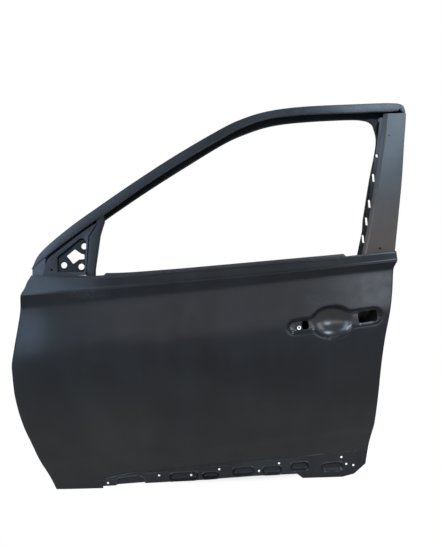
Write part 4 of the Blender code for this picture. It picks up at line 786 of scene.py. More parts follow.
STRIP_OUTLINE_SHARES = (
    (0.062, -0.040), (0.086, 0.067), (0.158, 0.220), (0.245, 0.371), (0.337, 0.524), (0.436, 0.679),
    (0.547, 0.836), (0.613, 0.915), (0.688, 0.969), (0.783, 0.994), (0.923, 1.000), (1.019, 1.000), (1.056, 0.985),
    (1.065, 0.932),
)
STRIP_WIDTH_SHARES = (0.15, 0.80, 1.00, 1.06, 0.98, 0.98, 1.00, 0.92, 0.86, 0.92, 1.00, 1.00, 0.80, 0.30)
HOOP_OUTLINE_SHARES = (
    (0.086, 0.067), (0.158, 0.220), (0.245, 0.371), (0.337, 0.524), (0.436, 0.679), (0.547, 0.836),
    (0.613, 0.915), (0.688, 0.969), (0.783, 0.994), (0.923, 1.000), (1.019, 1.000), (1.055, 0.980),
    (1.065, 0.926), (1.052, 0.708), (1.037, 0.463), (1.017, 0.196),
)
OPENING_SHARES = (
    (0.118, 0.090), (0.181, 0.142), (0.267, 0.288), (0.360, 0.440), (0.459, 0.591), (0.569, 0.751),
    (0.634, 0.820), (0.701, 0.867), (0.788, 0.888), (0.914, 0.894), (0.957, 0.883), (0.973, 0.863),
    (0.980, 0.829), (0.983, 0.715), (0.956, 0.463), (0.930, 0.196),
)
PLATE_FRONT_SHARES = ((1.016, 0.926), (0.999, 0.708), (0.976, 0.463), (0.950, 0.196), (0.928, 0.000))
REAR_CHANNEL_FOOT_SHARES = (0.838, -0.740)
FRONT_WALL_SHARES = ((0.00, 0.100), (0.140, 0.082), (0.215, None), (0.815, None), (0.868, 0.109), (1.000, 0.109))
REAR_WALL_SHARES = ((0.00, 0.905), (0.190, 0.911), (0.380, None), (0.675, None), (0.730, 0.951), (1.000, 0.981))


def frame_sheet(name, coat, bend, runs, steps=5):
    """Stamping along runs of (places, depth behind the frame's outer face), with its bends turned."""
    return grid_object(name, section_loft([frame_line(places, depth) for places, depth in runs], bend, steps), coat)


def strip_edges():
    outline = curve_through(frame_places(STRIP_OUTLINE_SHARES))
    return outline, offset_line(outline, STRIP_WIDTH * interpolated(STRIP_WIDTH_SHARES))


def build_frame_outer():
    outline, inner = strip_edges()
    runs = ((outline, FRAME_SIDE), (outline, 0.0), (inner, 0.0), (inner, STRIP_RETURN))
    return frame_sheet("window_frame_outer_stamping", FRAME_COAT, 0.0028, runs)


def wall_x(shares, flat, z):
    """Place of a wall at a height. A share of None stands for the flat that hinges or latch are bolted to."""
    line = [(height, flat if share is None else share * SKIN_LENGTH) for height, share in shares]
    return on_line(line, np.asarray(z) / BELT_HEIGHT)


def front_wall(z):
    return wall_x(FRONT_WALL_SHARES, HINGE_WALL_X + SHEET, z)


def rear_wall(z):
    return wall_x(REAR_WALL_SHARES, LATCH_WALL_X - SHEET, z)


def build_frame_inner():
    outline = offset_line(curve_through(frame_places(HOOP_OUTLINE_SHARES)), 2 * SHEET + SEAM)
    opening = curve_through(frame_places(OPENING_SHARES))
    clear = SEAM + SHEET
    front_heights = (0.880 * BELT_HEIGHT, 0.950 * BELT_HEIGHT + SEAM)
    rear_heights = (BELT_HEIGHT + SEAM, 0.840 * BELT_HEIGHT)
    front = [(float(front_wall(z)) + clear, z) for z in front_heights]
    rear = [(float(rear_wall(min(z, BELT_HEIGHT))) - clear, z) for z in rear_heights]
    web = np.vstack([front, outline, rear])
    front_leg, rear_leg = [(x + HOOP_FRONT_LEG, z) for x, z in front], [(x - HOOP_REAR_LEG, z) for x, z in rear]
    edge = np.vstack([front_leg, opening, rear_leg])
    starts = np.full(len(web), HOOP_START)
    starts[: len(front) + 2 * CURVE_SEGMENTS] = PLATE_LIFT + RIM_DEPTH + BACKING_SHEET + 2 * SEAM + SHEET
    runs = ((web, starts), (web, HOOP_BACK), (edge, HOOP_BACK), (edge, HOOP_BACK + HOOP_LIP))
    return frame_sheet("window_frame_inner_stamping", PAINTED_SHADE_COAT, 0.0030, runs)


def plate_front_line():
    line = curve_through(frame_places(PLATE_FRONT_SHARES))
    way = np.array(frame_places([REAR_CHANNEL_FOOT_SHARES])[0]) - line[-1]
    return np.vstack([line, line[-1] + way / np.linalg.norm(way) * 0.040])


def build_rear_pillar_plate():
    """Plate over the rear pillar. Its front edge slopes back over the channel in two flats."""
    front = plate_front_line()
    foot_x = 1.002 * SKIN_LENGTH
    rear = curve_through(frame_places(HOOP_OUTLINE_SHARES))[-3 * CURVE_SEGMENTS - 1:]
    drop = np.linspace(rear[-1], (foot_x, BELT_HEIGHT), 9)[1:]
    rear = np.vstack([rear, drop, [(foot_x, front[-1][1])]])
    runs = (
        (rear, FRAME_SIDE), (rear, 0.0), (front, 0.0), (front - (0.0044, 0.0), 0.0036),
        (front - (0.0125, 0.0), 0.0048),
    )
    plate = frame_sheet("rear_pillar_plate_stamping", PILLAR_COAT, 0.0020, runs, 6)
    wall, top = float(rear_wall(BELT_HEIGHT)) - FLANGE_WIDTH, BELT_HEIGHT - 0.006
    foot = [(wall, 0.0), (SKIN_LENGTH + 0.03, 0.0), (SKIN_LENGTH + 0.03, top), (wall, top)]
    dots = [circle((1.106, 0.7035), 0.0034, 20), circle((1.165, 1.040), 0.0024, 20)]
    cut(plate, [([foot] + dots, -0.03, 2 * INNER_FACE_Y, "Y")])
    return plate


# Inner panel


SERVICE_HOLE_SHARES = (
    ((0.185, 0.500), (0.440, 0.540), (0.440, 0.790), (0.250, 0.790), (0.185, 0.700)),
    ((0.510, 0.540), (0.700, 0.540), (0.718, 0.600), (0.718, 0.790), (0.510, 0.800)),
    ((0.400, 0.260), (0.830, 0.280), (0.830, 0.430), (0.440, 0.430), (0.400, 0.390)),
)
CLIP_HOLE_SHARES = (
    (0.135, 0.600), (0.475, 0.490), (0.475, 0.700), (0.890, 0.500), (0.885, 0.300), (0.150, 0.240),
    (0.365, 0.330), (0.905, 0.720),
)
INNER_FOOT_SHARES = (
    (0.090, -0.004), (0.230, -0.001), (0.335, 0.007), (0.475, 0.013), (0.613, 0.023), (0.735, 0.025),
    (0.750, 0.004), (0.856, 0.002), (0.896, 0.018), (0.918, 0.060),
)
POCKET_SHARES = ((0.432, 0.031), (0.591, 0.045), (0.668, 0.045), (0.742, 0.058), (0.829, 0.050), (0.5035, 0.032))
POCKET_LENGTH_SHARES = (0.073, 0.054, 0.048, 0.044, 0.054, 0.040)
POCKET_SIZE_SHARES = (1.00, 1.00, 1.00, 1.00, 1.00, 0.72)
DOME_SHARES = ((0.2680, 0.0040), (0.3060, 0.0040))
BAND_HOLE_SHARES = (
    (0.228, 0.013), (0.366, 0.042), (0.527, 0.061), (0.687, 0.078), (0.854, 0.095), (0.451, 0.032), (0.633, 0.046),
    (0.867, 0.062), (0.886, 0.055),
)
INNER_ROW_STEPS = (0, 8, 12, 14, 14, 12, 8)
BAND_POINTS = 64
BAND_TAIL = 5
WALL_START_Y = 0.046
FACE_TOP_FRONT = 0.640
FACE_TOP_REAR = 0.677
WALL_ROUND = 0.010
WALL_REACH = WALL_ROUND * 1.8
TUB_BEND = 0.0095
POCKET_RADIUS = 0.0105
POCKET_LEAN = 0.045
POCKET_WALL = 0.0075
DOME_RADII = (0.020, 0.024)
PRESS_FLOOR = float(raw_skin_y(np.array([SKIN_LENGTH / 2]), np.array([0.0]))[0]) + INNER_DEPTH + 0.009
RIM_RISE = 0.0019
RIB_RISE = 0.0020
RIB_WIDTH = 0.0013
HINGE_HEIGHT_SHARES = (0.717, 0.290)
HINGE_HOLE_PLACE = 0.022
CHECK_ARM_SHARE = 0.495
WALL_HOLE_Y = 0.084


def sump_z(x):
    return on_line(door_places(CLADDING_LINE_SHARES), x) + 0.055


def foot_z(x):
    return on_line(door_places(INNER_FOOT_SHARES), x)


def ridge(distance, rise, width):
    return rise * np.exp(-((distance / width) ** 2))


def pressed(x, y, z):
    """Depth of the lower band with its pockets and its dome pressed in, its raised rims and its ribs."""
    shapes = []
    for (cx, cz), length, size in zip(door_places(POCKET_SHARES), POCKET_LENGTH_SHARES, POCKET_SIZE_SHARES):
        radius = POCKET_RADIUS * size
        run = length * SKIN_LENGTH / 2 - radius
        shapes.append(((cx - run, cz - POCKET_LEAN * run), (cx + run, cz + POCKET_LEAN * run), radius, radius))
    shapes.append((*door_places(DOME_SHARES), *DOME_RADII))
    lifted = ridge(cladding_z(x) - 0.0030 - z, RIB_RISE, RIB_WIDTH)
    for shape in shapes:
        distance = capsule_distance(x, z, *shape)
        depth = np.clip(0.5 - distance / POCKET_WALL, 0.0, 1.0)
        weight = depth * depth * (3.0 - 2.0 * depth)
        y = y * (1.0 - weight) + np.maximum(y, PRESS_FLOOR) * weight
        lifted = np.maximum(lifted, ridge(distance - 0.0045, RIM_RISE, 0.0015))
    for hole_x, hole_z in door_places(BAND_HOLE_SHARES[:4]):
        start, end = (hole_x - 0.040, hole_z + 0.0080), (hole_x + 0.024, hole_z + 0.0105)
        lifted = np.maximum(lifted, ridge(capsule_distance(x, z, start, end, 0.0, 0.0), RIB_RISE, RIB_WIDTH))
    return y - lifted


def tub_row(band, wall_foot, corner, face):
    """One section: the band's points, then ramp, wall and face with their bends turned."""
    keep = len(band) - BAND_TAIL
    bends = section([band[keep], band[-1], wall_foot, corner, face], TUB_BEND)
    return np.vstack([band[: keep + 1], bends[1:]])


def panel_side(edge, wall, share, into, face_top):
    """Rows of the panel's front or rear side from sill to belt, and the row at its lower corner."""
    across = np.linspace(0.0, 1.0, BAND_POINTS)[:, None]
    heights = fine_rows(np.array([share]), INNER_ROW_STEPS)[:, 0]
    hem = into * (HEM_RADIUS + HEM_CLEARANCE)
    outer = skin_points(edge(heights) + hem, heights, INNER_DEPTH)
    root = skin_points(edge(heights) + into * FLANGE_WIDTH, heights, INNER_DEPTH)
    rows = []
    for i, z in enumerate(heights):
        floor = float(sump_z(float(wall(z))))
        tub_z = min(max(z, floor), face_top)
        x = float(wall(tub_z))
        rows.append(tub_row(
            outer[i] * (1 - across) + root[i] * across, (x, WALL_START_Y, tub_z), (x, INNER_FACE_Y, tub_z),
            (x + into * WALL_REACH, INNER_FACE_Y, min(max(z, floor + WALL_REACH), face_top)),
        ))
    low = float(line_heights(share)[0, 0])
    foot_x = float(edge(low)[0]) + hem
    foot = skin_points(foot_x, max(low, float(foot_z(foot_x))), INNER_DEPTH)[0]
    corner, last = rows[0].copy(), BAND_POINTS - BAND_TAIL + 1
    corner[:last] = foot * (1 - across[:last]) + rows[0][last] * across[:last]
    return rows, corner


def panel_bottom():
    """Rows of the panel's lower band, with the tub's bottom behind it."""
    steps = np.linspace(0.0, 1.0, BAND_POINTS)
    share = np.linspace(0.045, 0.960, 420)
    foot, sill = line_heights(share)[:, :2].T
    foot_x, sill_x = (front_edge(z) + share * (rear_edge(z) - front_edge(z)) for z in (foot, sill))
    low = np.maximum(foot, foot_z(foot_x))
    xs = foot_x[:, None] * (1 - steps) + sill_x[:, None] * steps
    zs = low[:, None] * (1 - steps) + sill[:, None] * steps
    band = skin_points(xs.ravel(), zs.ravel(), INNER_DEPTH)
    band[:, 1] = pressed(*band.T)
    rows = []
    for points, x in zip(band.reshape(len(share), BAND_POINTS, 3), sill_x):
        floor = float(sump_z(x))
        rows.append(tub_row(
            points, (x, WALL_START_Y, floor), (x, INNER_FACE_Y, floor), (x, INNER_FACE_Y, floor + WALL_REACH),
        ))
    return rows


def build_inner_panel():
    front, front_corner = panel_side(front_edge, front_wall, 0.0, 1.0, FACE_TOP_FRONT)
    rear, rear_corner = panel_side(rear_edge, rear_wall, 1.0, -1.0, FACE_TOP_REAR)
    rows = front[::-1] + [front_corner] + panel_bottom() + [rear_corner] + rear
    panel = grid_object("inner_panel_stamping", rows, INSIDE_COAT, fill_last=True)
    notch = door_places(((0.084, 0.932), (0.114, 0.932), (0.114, 1.000), (0.084, 1.000)))
    band_holes = [circle(place, 0.0034, 20) for place in door_places(BAND_HOLE_SHARES)]
    holes = [rounded(door_places(corners), 0.028) for corners in SERVICE_HOLE_SHARES]
    holes.append(circle((0.250 * SKIN_LENGTH, 0.325 * BELT_HEIGHT), 0.078, 72))
    holes += [circle(place, 0.004, 20) for place in door_places(CLIP_HOLE_SHARES)]
    cut(panel, (
        ([notch] + band_holes, -0.030, INNER_FACE_Y / 2, "Y"),
        (holes, INNER_FACE_Y - 0.010, INNER_FACE_Y + 0.030, "Y"),
        (hinge_side_holes(), 0.043, 0.073, "X"),
        (latch_side_holes(), 1.053, 1.083, "X"),
    ))
    return panel


def hinge_side_holes():
    hinges = [share * BELT_HEIGHT for share in HINGE_HEIGHT_SHARES]
    holes = [circle((WALL_HOLE_Y, z + side * HINGE_HOLE_PLACE), 0.0045, 24) for z in hinges for side in (-1, 1)]
    z = CHECK_ARM_SHARE * BELT_HEIGHT
    holes.append(slot_outline((WALL_HOLE_Y, z), 0.014, 0.022, 0.0035))
    return holes + [circle((WALL_HOLE_Y, z + side * 0.026), 0.0035, 24) for side in (-1, 1)]


def latch_side_holes():
    z = 0.555 * BELT_HEIGHT
    places = ((0.077, z - 0.028), (0.077, z + 0.028), (0.0965, z + 0.028))
    return [slot_outline((0.090, z), 0.026, 0.022, 0.0055)] + [circle(place, 0.0035, 24) for place in places]


# Mirror corner


FRONT_CHANNEL_SHARES = ((0.230, 0.249), (0.210, 0.164), (0.2037, -0.065), (0.186, -0.735))
MIRROR_RIM_SHARES = (
    (0.129, 0.000), (0.129, 0.031), (0.188, 0.148), (0.1965, 0.144), (0.2000, 0.133), (0.2020, 0.126),
    (0.2035, 0.117), (0.200, -0.063), (0.196, -0.072), (0.131, -0.067),
)
MIRROR_HOLE_SHARES = ((0.1975, 0.094), (0.1455, -0.025), (0.1905, -0.038))
MIRROR_STAR_SHARES = (
    (0.173, 0.076), (0.189, 0.047), (0.198, 0.040), (0.198, 0.011), (0.184, 0.009), (0.169, -0.018), (0.152, 0.034),
)
MIRROR_FRONT_X = 0.1005 * SKIN_LENGTH
MIRROR_REAR_X = 0.210 * SKIN_LENGTH
COLLAR_PROFILE = (
    (0.0089, -0.0002), (0.0089, 0.0010), (0.0094, 0.0016), (0.0106, 0.0016), (0.0120, 0.0010), (0.0132, -0.0001),
)


def front_channel_x(z):
    return float(on_line(sorted(place[::-1] for place in frame_places(FRONT_CHANNEL_SHARES)), z))


def strip_edge_z(x):
    return float(on_line(strip_edges()[1], x)) - 3 * SEAM


def mirror_point(place, depth):
    """Point of the flat mirror corner, its bow the straight run between the bows at its two ends."""
    x, z = place
    bow_front, bow_rear = float(plan_bow(MIRROR_FRONT_X)), float(plan_bow(MIRROR_REAR_X))
    bow = bow_front + (bow_rear - bow_front) * (x - MIRROR_FRONT_X) / (MIRROR_REAR_X - MIRROR_FRONT_X)
    return (x, FRAME_FOOT_Y + FRAME_LEAN * (z - FRAME_LEAN_FROM) + bow + depth, z)


def mirror_edge():
    """Outline of the mirror corner: along the strip, down the front channel and back along the belt."""
    rim = frame_places(MIRROR_RIM_SHARES)
    low = BELT_HEIGHT - 0.090 * FRAME_HEIGHT
    upper = [(x, strip_edge_z(x)) for x in (MIRROR_FRONT_X + FLANGE_WIDTH / 4, rim[2][0], rim[3][0])]
    bottom, top = BELT_HEIGHT, BELT_HEIGHT + FRAME_HEIGHT
    while top - bottom > SEAM / 2:
        middle = (bottom + top) / 2
        if strip_edge_z(front_channel_x(middle) - SEAM) > middle:
            bottom = middle
        else:
            top = middle
    bend = BELT_HEIGHT + 0.164 * FRAME_HEIGHT
    rear = [(front_channel_x(z) - SEAM / 2, z) for z in (bottom, bend, rim[6][1], low)]
    edge = [(MIRROR_FRONT_X, rim[0][1])] + upper + rear + [(rim[8][0], low), (0.0915 * SKIN_LENGTH, low)]
    return edge, rim, low


def moved(edge, indices, shift):
    return [(x + shift[0], z + shift[1]) if i in indices else (x, z) for i, (x, z) in enumerate(edge)]


def build_mirror_corner():
    edge, rim, low = mirror_edge()
    rings = (moved(edge, ALONG_STRIP, GROOVE), PLATE_LIFT), (rim, PLATE_LIFT), (rim, PLATE_LIFT + RIM_DEPTH)
    lines = [[mirror_point(place, depth) for place in ring + ring[:1]] for ring, depth in rings]
    plate = grid_object("mirror_corner_plate_stamping", lines, CORNER_COAT, bevel=0.0022)
    hole = frame_places([(0.1150, -0.049)])[0]
    cut(plate, [([circle(hole, 0.0032, 20)], -0.010, 0.070, "Y")])

    xs = np.linspace(0.0645 * SKIN_LENGTH, edge[0][0] - 0.0028, 9)
    top = [(x, strip_edge_z(x) + 0.0015) for x in xs]
    foot = [(x, min(low + (1 - i / 8) * FLANGE_WIDTH / 4, top[i][1] - 0.001)) for i, x in enumerate(xs)]
    runs = ((top, FOOT_PLATE_LIFT), (foot, FOOT_PLATE_LIFT), (foot, 0.0070))
    lines = [frame_line(places, depth) for places, depth in runs]
    return plate, grid_object("pillar_foot_plate_stamping", lines, FRAME_COAT, bevel=0.0015)


def add_collars(bm, places, depth):
    """Rings pressed up round the stud holes."""
    for place in places:
        rows = []
        for radius, rise in COLLAR_PROFILE:
            ring = [mirror_point(spoke, depth - rise) for spoke in circle(place, radius, 40)]
            rows.append([bm.verts.new(Vector(point) - Vector(ORIGIN)) for point in ring])
        for inner, outer in zip(rows, rows[1:]):
            for corners in zip(inner, inner[1:] + inner[:1], outer[1:] + outer[:1], outer):
                bm.faces.new(corners)


def build_mirror_reinforcement():
    """Flat plate behind the rim, wide enough to close the groove under the strip."""
    edge = moved(mirror_edge()[0], ALONG_STRIP, (-0.0050, 0.0060))
    edge = moved(moved(edge, (0,), (-0.0080, 0.0)), (1,), (-0.0060, 0.0))
    depth = PLATE_LIFT + RIM_DEPTH + SEAM
    bm = bmesh.new()
    bm.faces.new([bm.verts.new(Vector(mirror_point(place, depth)) - Vector(ORIGIN)) for place in edge])
    name = "mirror_reinforcement_stamping"
    plate = add_object(name, written(name, bm, (0, -1, 0)), PAINTED_SHADE_COAT)
    thicken(plate, BACKING_SHEET)
    places = frame_places(MIRROR_HOLE_SHARES)
    holes = [circle(place, STUD_HOLE_RADIUS) for place in places]
    holes.append(rounded(frame_places(MIRROR_STAR_SHARES), 0.0018, 4))
    cut(plate, [(holes, -0.030, INNER_FACE_Y, "Y")])
    bm = bmesh.new()
    bm.from_mesh(plate.data)
    add_collars(bm, places, depth)
    bmesh.ops.recalc_face_normals(bm, faces=bm.faces)
    bm.to_mesh(plate.data)
    bm.free()
    finish_mesh(plate)
    return plate


# Glass channels, belt reinforcement, beam and bush


def channel(name, web, widths, coat, turned=0.0, ends=()):
    """Channel along its web. turned bends the outer side's edge back, and ends gives the heights at the top."""
    rows = []
    for (x, z), width in zip(web, widths):
        y = float(frame_y(x, z)) + CHANNEL_FACE
        back = y + CHANNEL_DEPTH
        row = [(x + width - turned, y, z), (x, y, z), (x, back, z), (x + width, back, z)]
        rows.append([(x + width, y + 2 * turned, z)] + row if turned else row)
    if ends:
        tall = [ends[1], ends[1], ends[0], ends[0], ends[1]]
        rows.insert(0, [(x, y, z) for (x, y, _), z in zip(rows[0], tall)])
    return grid_object(name, rows, coat, faces_to=(-widths[0], 0, 0), bevel=0.0016)


def channel_slots(web):
    """Slots of the rear channel, each through one sheet: its face, its back and the frame behind it."""
    line = np.array(web)[::-1]
    in_channel, in_frame = [], []
    for rise in (0.634, 0.483, 0.308, 0.191, 0.076):
        z = BELT_HEIGHT + rise * FRAME_HEIGHT
        x = float(np.interp(z, line[:, 1], line[:, 0])) - 0.0178
        y = float(frame_y(x, z))
        tall = 0.010 if rise > 0.6 else 0.024
        for groups, shift, wide, near, far in (
            (in_channel, 0.0, 0.0062, 0.0, 0.014), (in_channel, 0.0040, 0.0062, 0.015, 0.030),
            (in_frame, 0.0060, 0.0070, 0.022, 0.050),
        ):
            groups.append(([slot_outline((x + shift, z), wide, tall, 0.0025)], y + near, y + far, "Y"))
    return in_channel, in_frame


def build_glass_channels():
    """Front and rear channel, and the slots that the rear one shares with the frame behind it."""
    web = section(frame_places(FRONT_CHANNEL_SHARES), 0.015, 8, math.pi)
    web = [tuple(place) for place in np.linspace(web[0], web[1], 5)[:4]] + web[1:]
    heights, sizes = (0.700, 0.735, 0.770, 0.808), (0.026, 0.028, 0.0335, 0.0225)
    widths = np.interp([z for _, z in web], heights, sizes)
    ends = [strip_edge_z(x) - SEAM for x in (web[0][0], web[0][0] + widths[0])]
    front = channel("front_glass_channel_profile", web, widths, CORNER_COAT, 0.0034, ends)

    web = [(x - SEAM, z) for x, z in [*plate_front_line()[1:], *frame_places([REAR_CHANNEL_FOOT_SHARES])]]
    rear = channel("rear_glass_channel_profile", web, [-REAR_CHANNEL_WIDTH] * len(web), PAINTED_SHADE_COAT)
    in_channel, in_frame = channel_slots(web)
    cut(rear, in_channel)
    return front, rear, in_frame


def build_belt_reinforcement():
    ramp_length = rise = 0.008
    rise_start, rise_end = 0.256 * SKIN_LENGTH, 0.864 * SKIN_LENGTH
    ramps = [rise_start - ramp_length, rise_start, rise_end, rise_end + ramp_length]
    x = np.unique(np.concatenate([np.linspace(0.236 * SKIN_LENGTH, 0.885 * SKIN_LENGTH, 90), ramps]))
    belt = float(line_heights(0.5)[0, -1])
    heights = line_heights((x - front_edge(belt)) / (rear_edge(belt) - front_edge(belt)))
    crease, top = heights[:, CREASE], heights[:, -1]
    raised = rise * np.clip(np.minimum(x - rise_start, rise_end - x) / ramp_length + 1.0, 0.0, 1.0)
    lip = skin_y(x, top) + BELT_LIP + SEAM
    lines = [skin_points(x, crease + share * (top - crease), SHEET + SEAM) for share in (0.25, 0.55)]
    lines += [np.stack([x, lip, z], axis=1) for z in (top - BELT_LIP, top + SHEET + raised)]
    return grid_object("belt_reinforcement_outer_strip", lines, FRAME_COAT, bevel=0.0015)


def build_inner_belt_beam():
    """Hat section against the inner panel's face, just under its top edge."""
    face, hat = INNER_FACE_Y - SEAM, INNER_FACE_Y - SEAM - 0.016
    profile = ((SHEET, face), (0.014, face), (0.020, hat), (0.052, hat), (0.058, face), (0.072, face))
    x = np.linspace(0.150, 0.955, 24) * SKIN_LENGTH
    low_x, high_x = float(front_wall(FACE_TOP_FRONT)) + WALL_ROUND, float(rear_wall(FACE_TOP_REAR)) - WALL_ROUND
    top = FACE_TOP_FRONT + (FACE_TOP_REAR - FACE_TOP_FRONT) * (x - low_x) / (high_x - low_x)
    lines = [np.stack([x, np.full(len(x), y), top - drop], axis=1) for drop, y in profile]
    return grid_object("belt_reinforcement_inner_hat", lines, INSIDE_COAT, faces_to=(0, 1, 0), bevel=0.0020)


BEAM_Y = 0.034
BEAM_INSET = 0.022
BEAM_RADIUS = 0.015
BEAM_BORE = 0.013


def build_impact_beam():
    front_z, rear_z = 0.495 * BELT_HEIGHT, 0.440 * BELT_HEIGHT
    front = Vector((float(front_wall(front_z)) + BEAM_INSET, BEAM_Y, front_z))
    rear = Vector((float(rear_wall(rear_z)) - BEAM_INSET, BEAM_Y, rear_z))
    way = (rear - front).normalized()
    side = way.cross(Vector((0.0, 1.0, 0.0))).normalized()
    up = way.cross(side)
    spokes = [side * math.cos(turn) + up * math.sin(turn) for turn in np.linspace(0.0, 2 * math.pi, 49)]
    rings = ((front, BEAM_BORE), (front, BEAM_RADIUS), (rear, BEAM_RADIUS), (rear, BEAM_BORE), (front, BEAM_BORE))
    rows = [[tuple(end + spoke * radius) for spoke in spokes] for end, radius in rings]
    return grid_object("impact_beam_tube", rows, INSIDE_COAT, 0.0)


def build_handle_bush():
    x, z = on_grip(BUSH_OFFSET)
    back = SCOOP_FLOOR + SHEET
    face = back - BUSH_HEIGHT
    profile = (
        (0.0030, back), (0.0030, face + 0.0006), (0.0034, face + 0.0002), (0.0040, face), (0.0052, face),
        (0.0057, face + 0.0002), (0.0060, face + 0.0007), (0.0060, back), (0.0030, back),
    )
    turns = np.linspace(0.0, 2 * math.pi, 41)
    rows = [
        [(x + radius * math.cos(turn), y, z - BUSH_DROP + radius * math.sin(turn)) for turn in turns]
        for radius, y in profile
    ]
    return grid_object("handle_bush_ring", rows, ZINC, 0.0, sharp=50.0)


# Camera, light and floor


WHITE = (1.0, 1.0, 1.0)
SKY_BLUE = (0.50, 0.71, 1.0)
PALE_BLUE = (0.85, 0.93, 1.0)
# name, place, target, width, height, power, colour
LAMPS = (
    ("key_light", (0.45, 0.15, 3.00), (0.45, 0.0, 0.1), 2.4, 0.8, 115.0, (0.95, 0.98, 1.0)),
    ("left_light", (-1.30, -2.40, 1.05), (0.2, 0.0, 0.3), 0.8, 2.9, 92.0, SKY_BLUE),
    ("left_top_light", (-0.56, -2.27, 2.35), (0.25, 0.0, 0.45), 0.7, 0.8, 10.0, SKY_BLUE),
    ("side_light", (-2.05, -1.50, 2.00), (1.05, 0.0, 0.45), 0.8, 1.6, 84.0, PALE_BLUE),
    ("front_light", (0.60, -3.30, -0.08), (0.5, -0.1, -0.08), 2.8, 0.74, 20.0, (0.98, 0.98, 1.0)),
    ("rear_low_light", (1.96, -2.90, 0.12), (0.99, 0.0, 0.10), 0.8, 0.6, 30.0, (0.78, 0.88, 1.0)),
    ("right_light", (2.85, -1.85, 0.75), (1.0, 0.0, 0.3), 0.9, 1.8, 30.0, PALE_BLUE),
    ("right_top_light", (1.88, -1.41, 2.33), (1.13, 0.0, 0.55), 0.9, 0.6, 50.0, (0.62, 0.82, 1.0)),
    ("back_light", (0.5, 2.6, 2.2), (0.5, 0.0, 0.1), 2.4, 1.6, 50.0, WHITE),
)


def set_camera():
    data = bpy.data.cameras.new("camera")
    data.lens, data.sensor_width = 46.24, 36.0
    camera = bpy.data.objects.new("camera", data)
    camera.location = Vector((0.632, -2.014, 0.902)) - Vector(ORIGIN)
    pitch, roll = math.radians(90.0 - 7.0), math.radians(-2.0)
    camera.rotation_euler = (Euler((pitch, 0.0, 0.0)).to_matrix() @ Matrix.Rotation(roll, 3, "Z")).to_euler()
    data.clip_start, data.clip_end = 0.05, 50.0
    bpy.context.scene.collection.objects.link(camera)
    bpy.context.scene.camera = camera


def seen_directly(tree):
    """1 for rays from the camera, also by way of gloss or a clear body, and 0 for scattered light."""
    path = node(tree, "ShaderNodeLightPath").outputs
    straight = maths(tree, "MAXIMUM", path["Is Camera Ray"], path["Is Glossy Ray"])
    return maths(tree, "MAXIMUM", straight, path["Is Transmission Ray"])


def white_to_eye(name, colour):
    """Plain pale paper that the eye sees as nearly white, and quite white away from the object."""
    made, tree, shader, coords = new_material(name)
    fill(tree, shader, {"Base Color": (*colour, 1.0), "Roughness": 0.9, "Specular IOR Level": 0.1})
    glow = node(tree, "ShaderNodeEmission", {"Color": (*WHITE, 1.0), "Strength": 1.0})
    away = ramp(tree, reach(tree, coords, (0.56, 0.19, cad_low.z), (0.64, 0.23, 1.0)), 0.50, 1.00, 0.15, 1.0)
    factor = maths(tree, "MULTIPLY", away, seen_directly(tree))
    surface = mix_shader(tree, factor, shader.outputs["BSDF"], glow.outputs["Emission"])
    fill(tree, tree.nodes["Material Output"], {"Surface": surface})
    return made


def area(name, place, target, size, size_y, power, colour):
    data = bpy.data.lights.new(name, "AREA")
    data.shape, data.size, data.size_y, data.energy, data.color = "RECTANGLE", size, size_y, power, colour
    lamp = bpy.data.objects.new(name, data)
    lamp.location = place
    lamp.rotation_euler = (Vector(target) - Vector(place)).to_track_quat("-Z", "Y").to_euler()
    bpy.context.scene.collection.objects.link(lamp)


def set_floor():
    bm = bmesh.new()
    bmesh.ops.create_grid(bm, x_segments=1, y_segments=1, size=8.0)
    bmesh.ops.translate(bm, vec=(0.5, 0.0, cad_low.z - 0.002), verts=bm.verts)
    mesh = written("floor", bm, (0, 0, 1))
    floor = add_object("floor", mesh, white_to_eye("floor_paper", (0.86, 0.86, 0.86)))


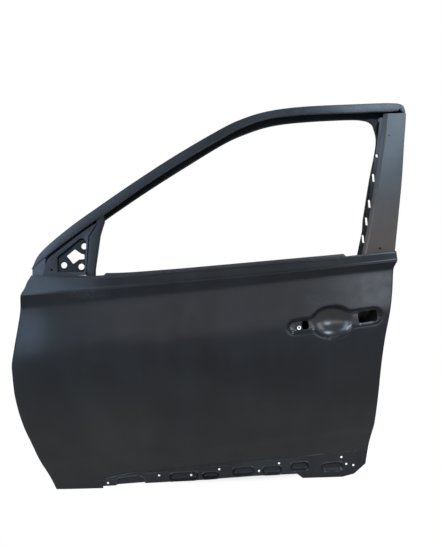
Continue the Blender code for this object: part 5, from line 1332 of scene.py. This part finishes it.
def set_world():
    world = bpy.data.worlds.new("studio")
    bpy.context.scene.world = world
    world.use_nodes = True
    tree = world.node_tree
    background = tree.nodes["Background"]
    fill(tree, background, {"Color": (0.80, 0.84, 0.90, 1.0), "Strength": 0.35})
    backdrop = node(tree, "ShaderNodeBackground", {"Color": (*WHITE, 1.0), "Strength": 1.0})
    surface = mix_shader(tree, seen_directly(tree), background.outputs["Background"], backdrop.outputs["Background"])
    fill(tree, tree.nodes["World Output"], {"Surface": surface})


PLAIN = (
    (INSIDE_COAT, (
        "front_channel_bracket", "rear_channel_bracket", "impact_beam_bracket_front", "impact_beam_bracket_rear",
        "upper_hinge_reinforcement", "lower_hinge_reinforcement", "check_arm_reinforcement", "latch_reinforcement",
        "handle_reinforcement",
    )),
    (MASTIC, ("antiflutter_pad_1", "antiflutter_pad_2", "antiflutter_pad_3")),
    (ZINC, ("upper_hinge_lower_nut", "upper_hinge_upper_nut", "lower_hinge_lower_nut", "lower_hinge_upper_nut")),
)
for coat, names in PLAIN:
    for name in names:
        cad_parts[name].data.materials.clear()
        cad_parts[name].data.materials.append(coat)

mirror_corner, pillar_foot = build_mirror_corner()
front_channel, rear_channel, frame_slots = build_glass_channels()
hoop = build_frame_inner()
cut(hoop, frame_slots)
for made, name, finish in (
    (build_skin(), "outer_panel", "dip_coat"),
    (build_inner_panel(), "inner_panel", "dip_coat_inside"),
    (mirror_corner, "mirror_corner_plate", "dip_coat"),
    (pillar_foot, "pillar_foot_plate", "dip_coat"),
    (build_mirror_reinforcement(), "mirror_reinforcement", "dip_coat_inside"),
    (front_channel, "front_glass_channel", "dip_coat"),
    (rear_channel, "rear_glass_channel", "dip_coat"),
    (build_belt_reinforcement(), "belt_reinforcement_outer", "dip_coat"),
    (build_inner_belt_beam(), "belt_reinforcement_inner", "dip_coat_inside"),
    (build_impact_beam(), "impact_beam", "dip_coat_inside"),
    (build_handle_bush(), "handle_bush", "zinc_plate"),
    (build_frame_outer(), "window_frame_outer", "dip_coat"),
    (hoop, "window_frame_inner", "dip_coat_inside"),
    (build_rear_pillar_plate(), "rear_pillar_plate", "dip_coat_rear_pillar"),
):
    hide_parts(name)
    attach(made, "root")

set_camera()
set_floor()
set_world()
for lamp in LAMPS:
    area(*lamp)
bpy.context.scene.view_settings.view_transform = "Standard"
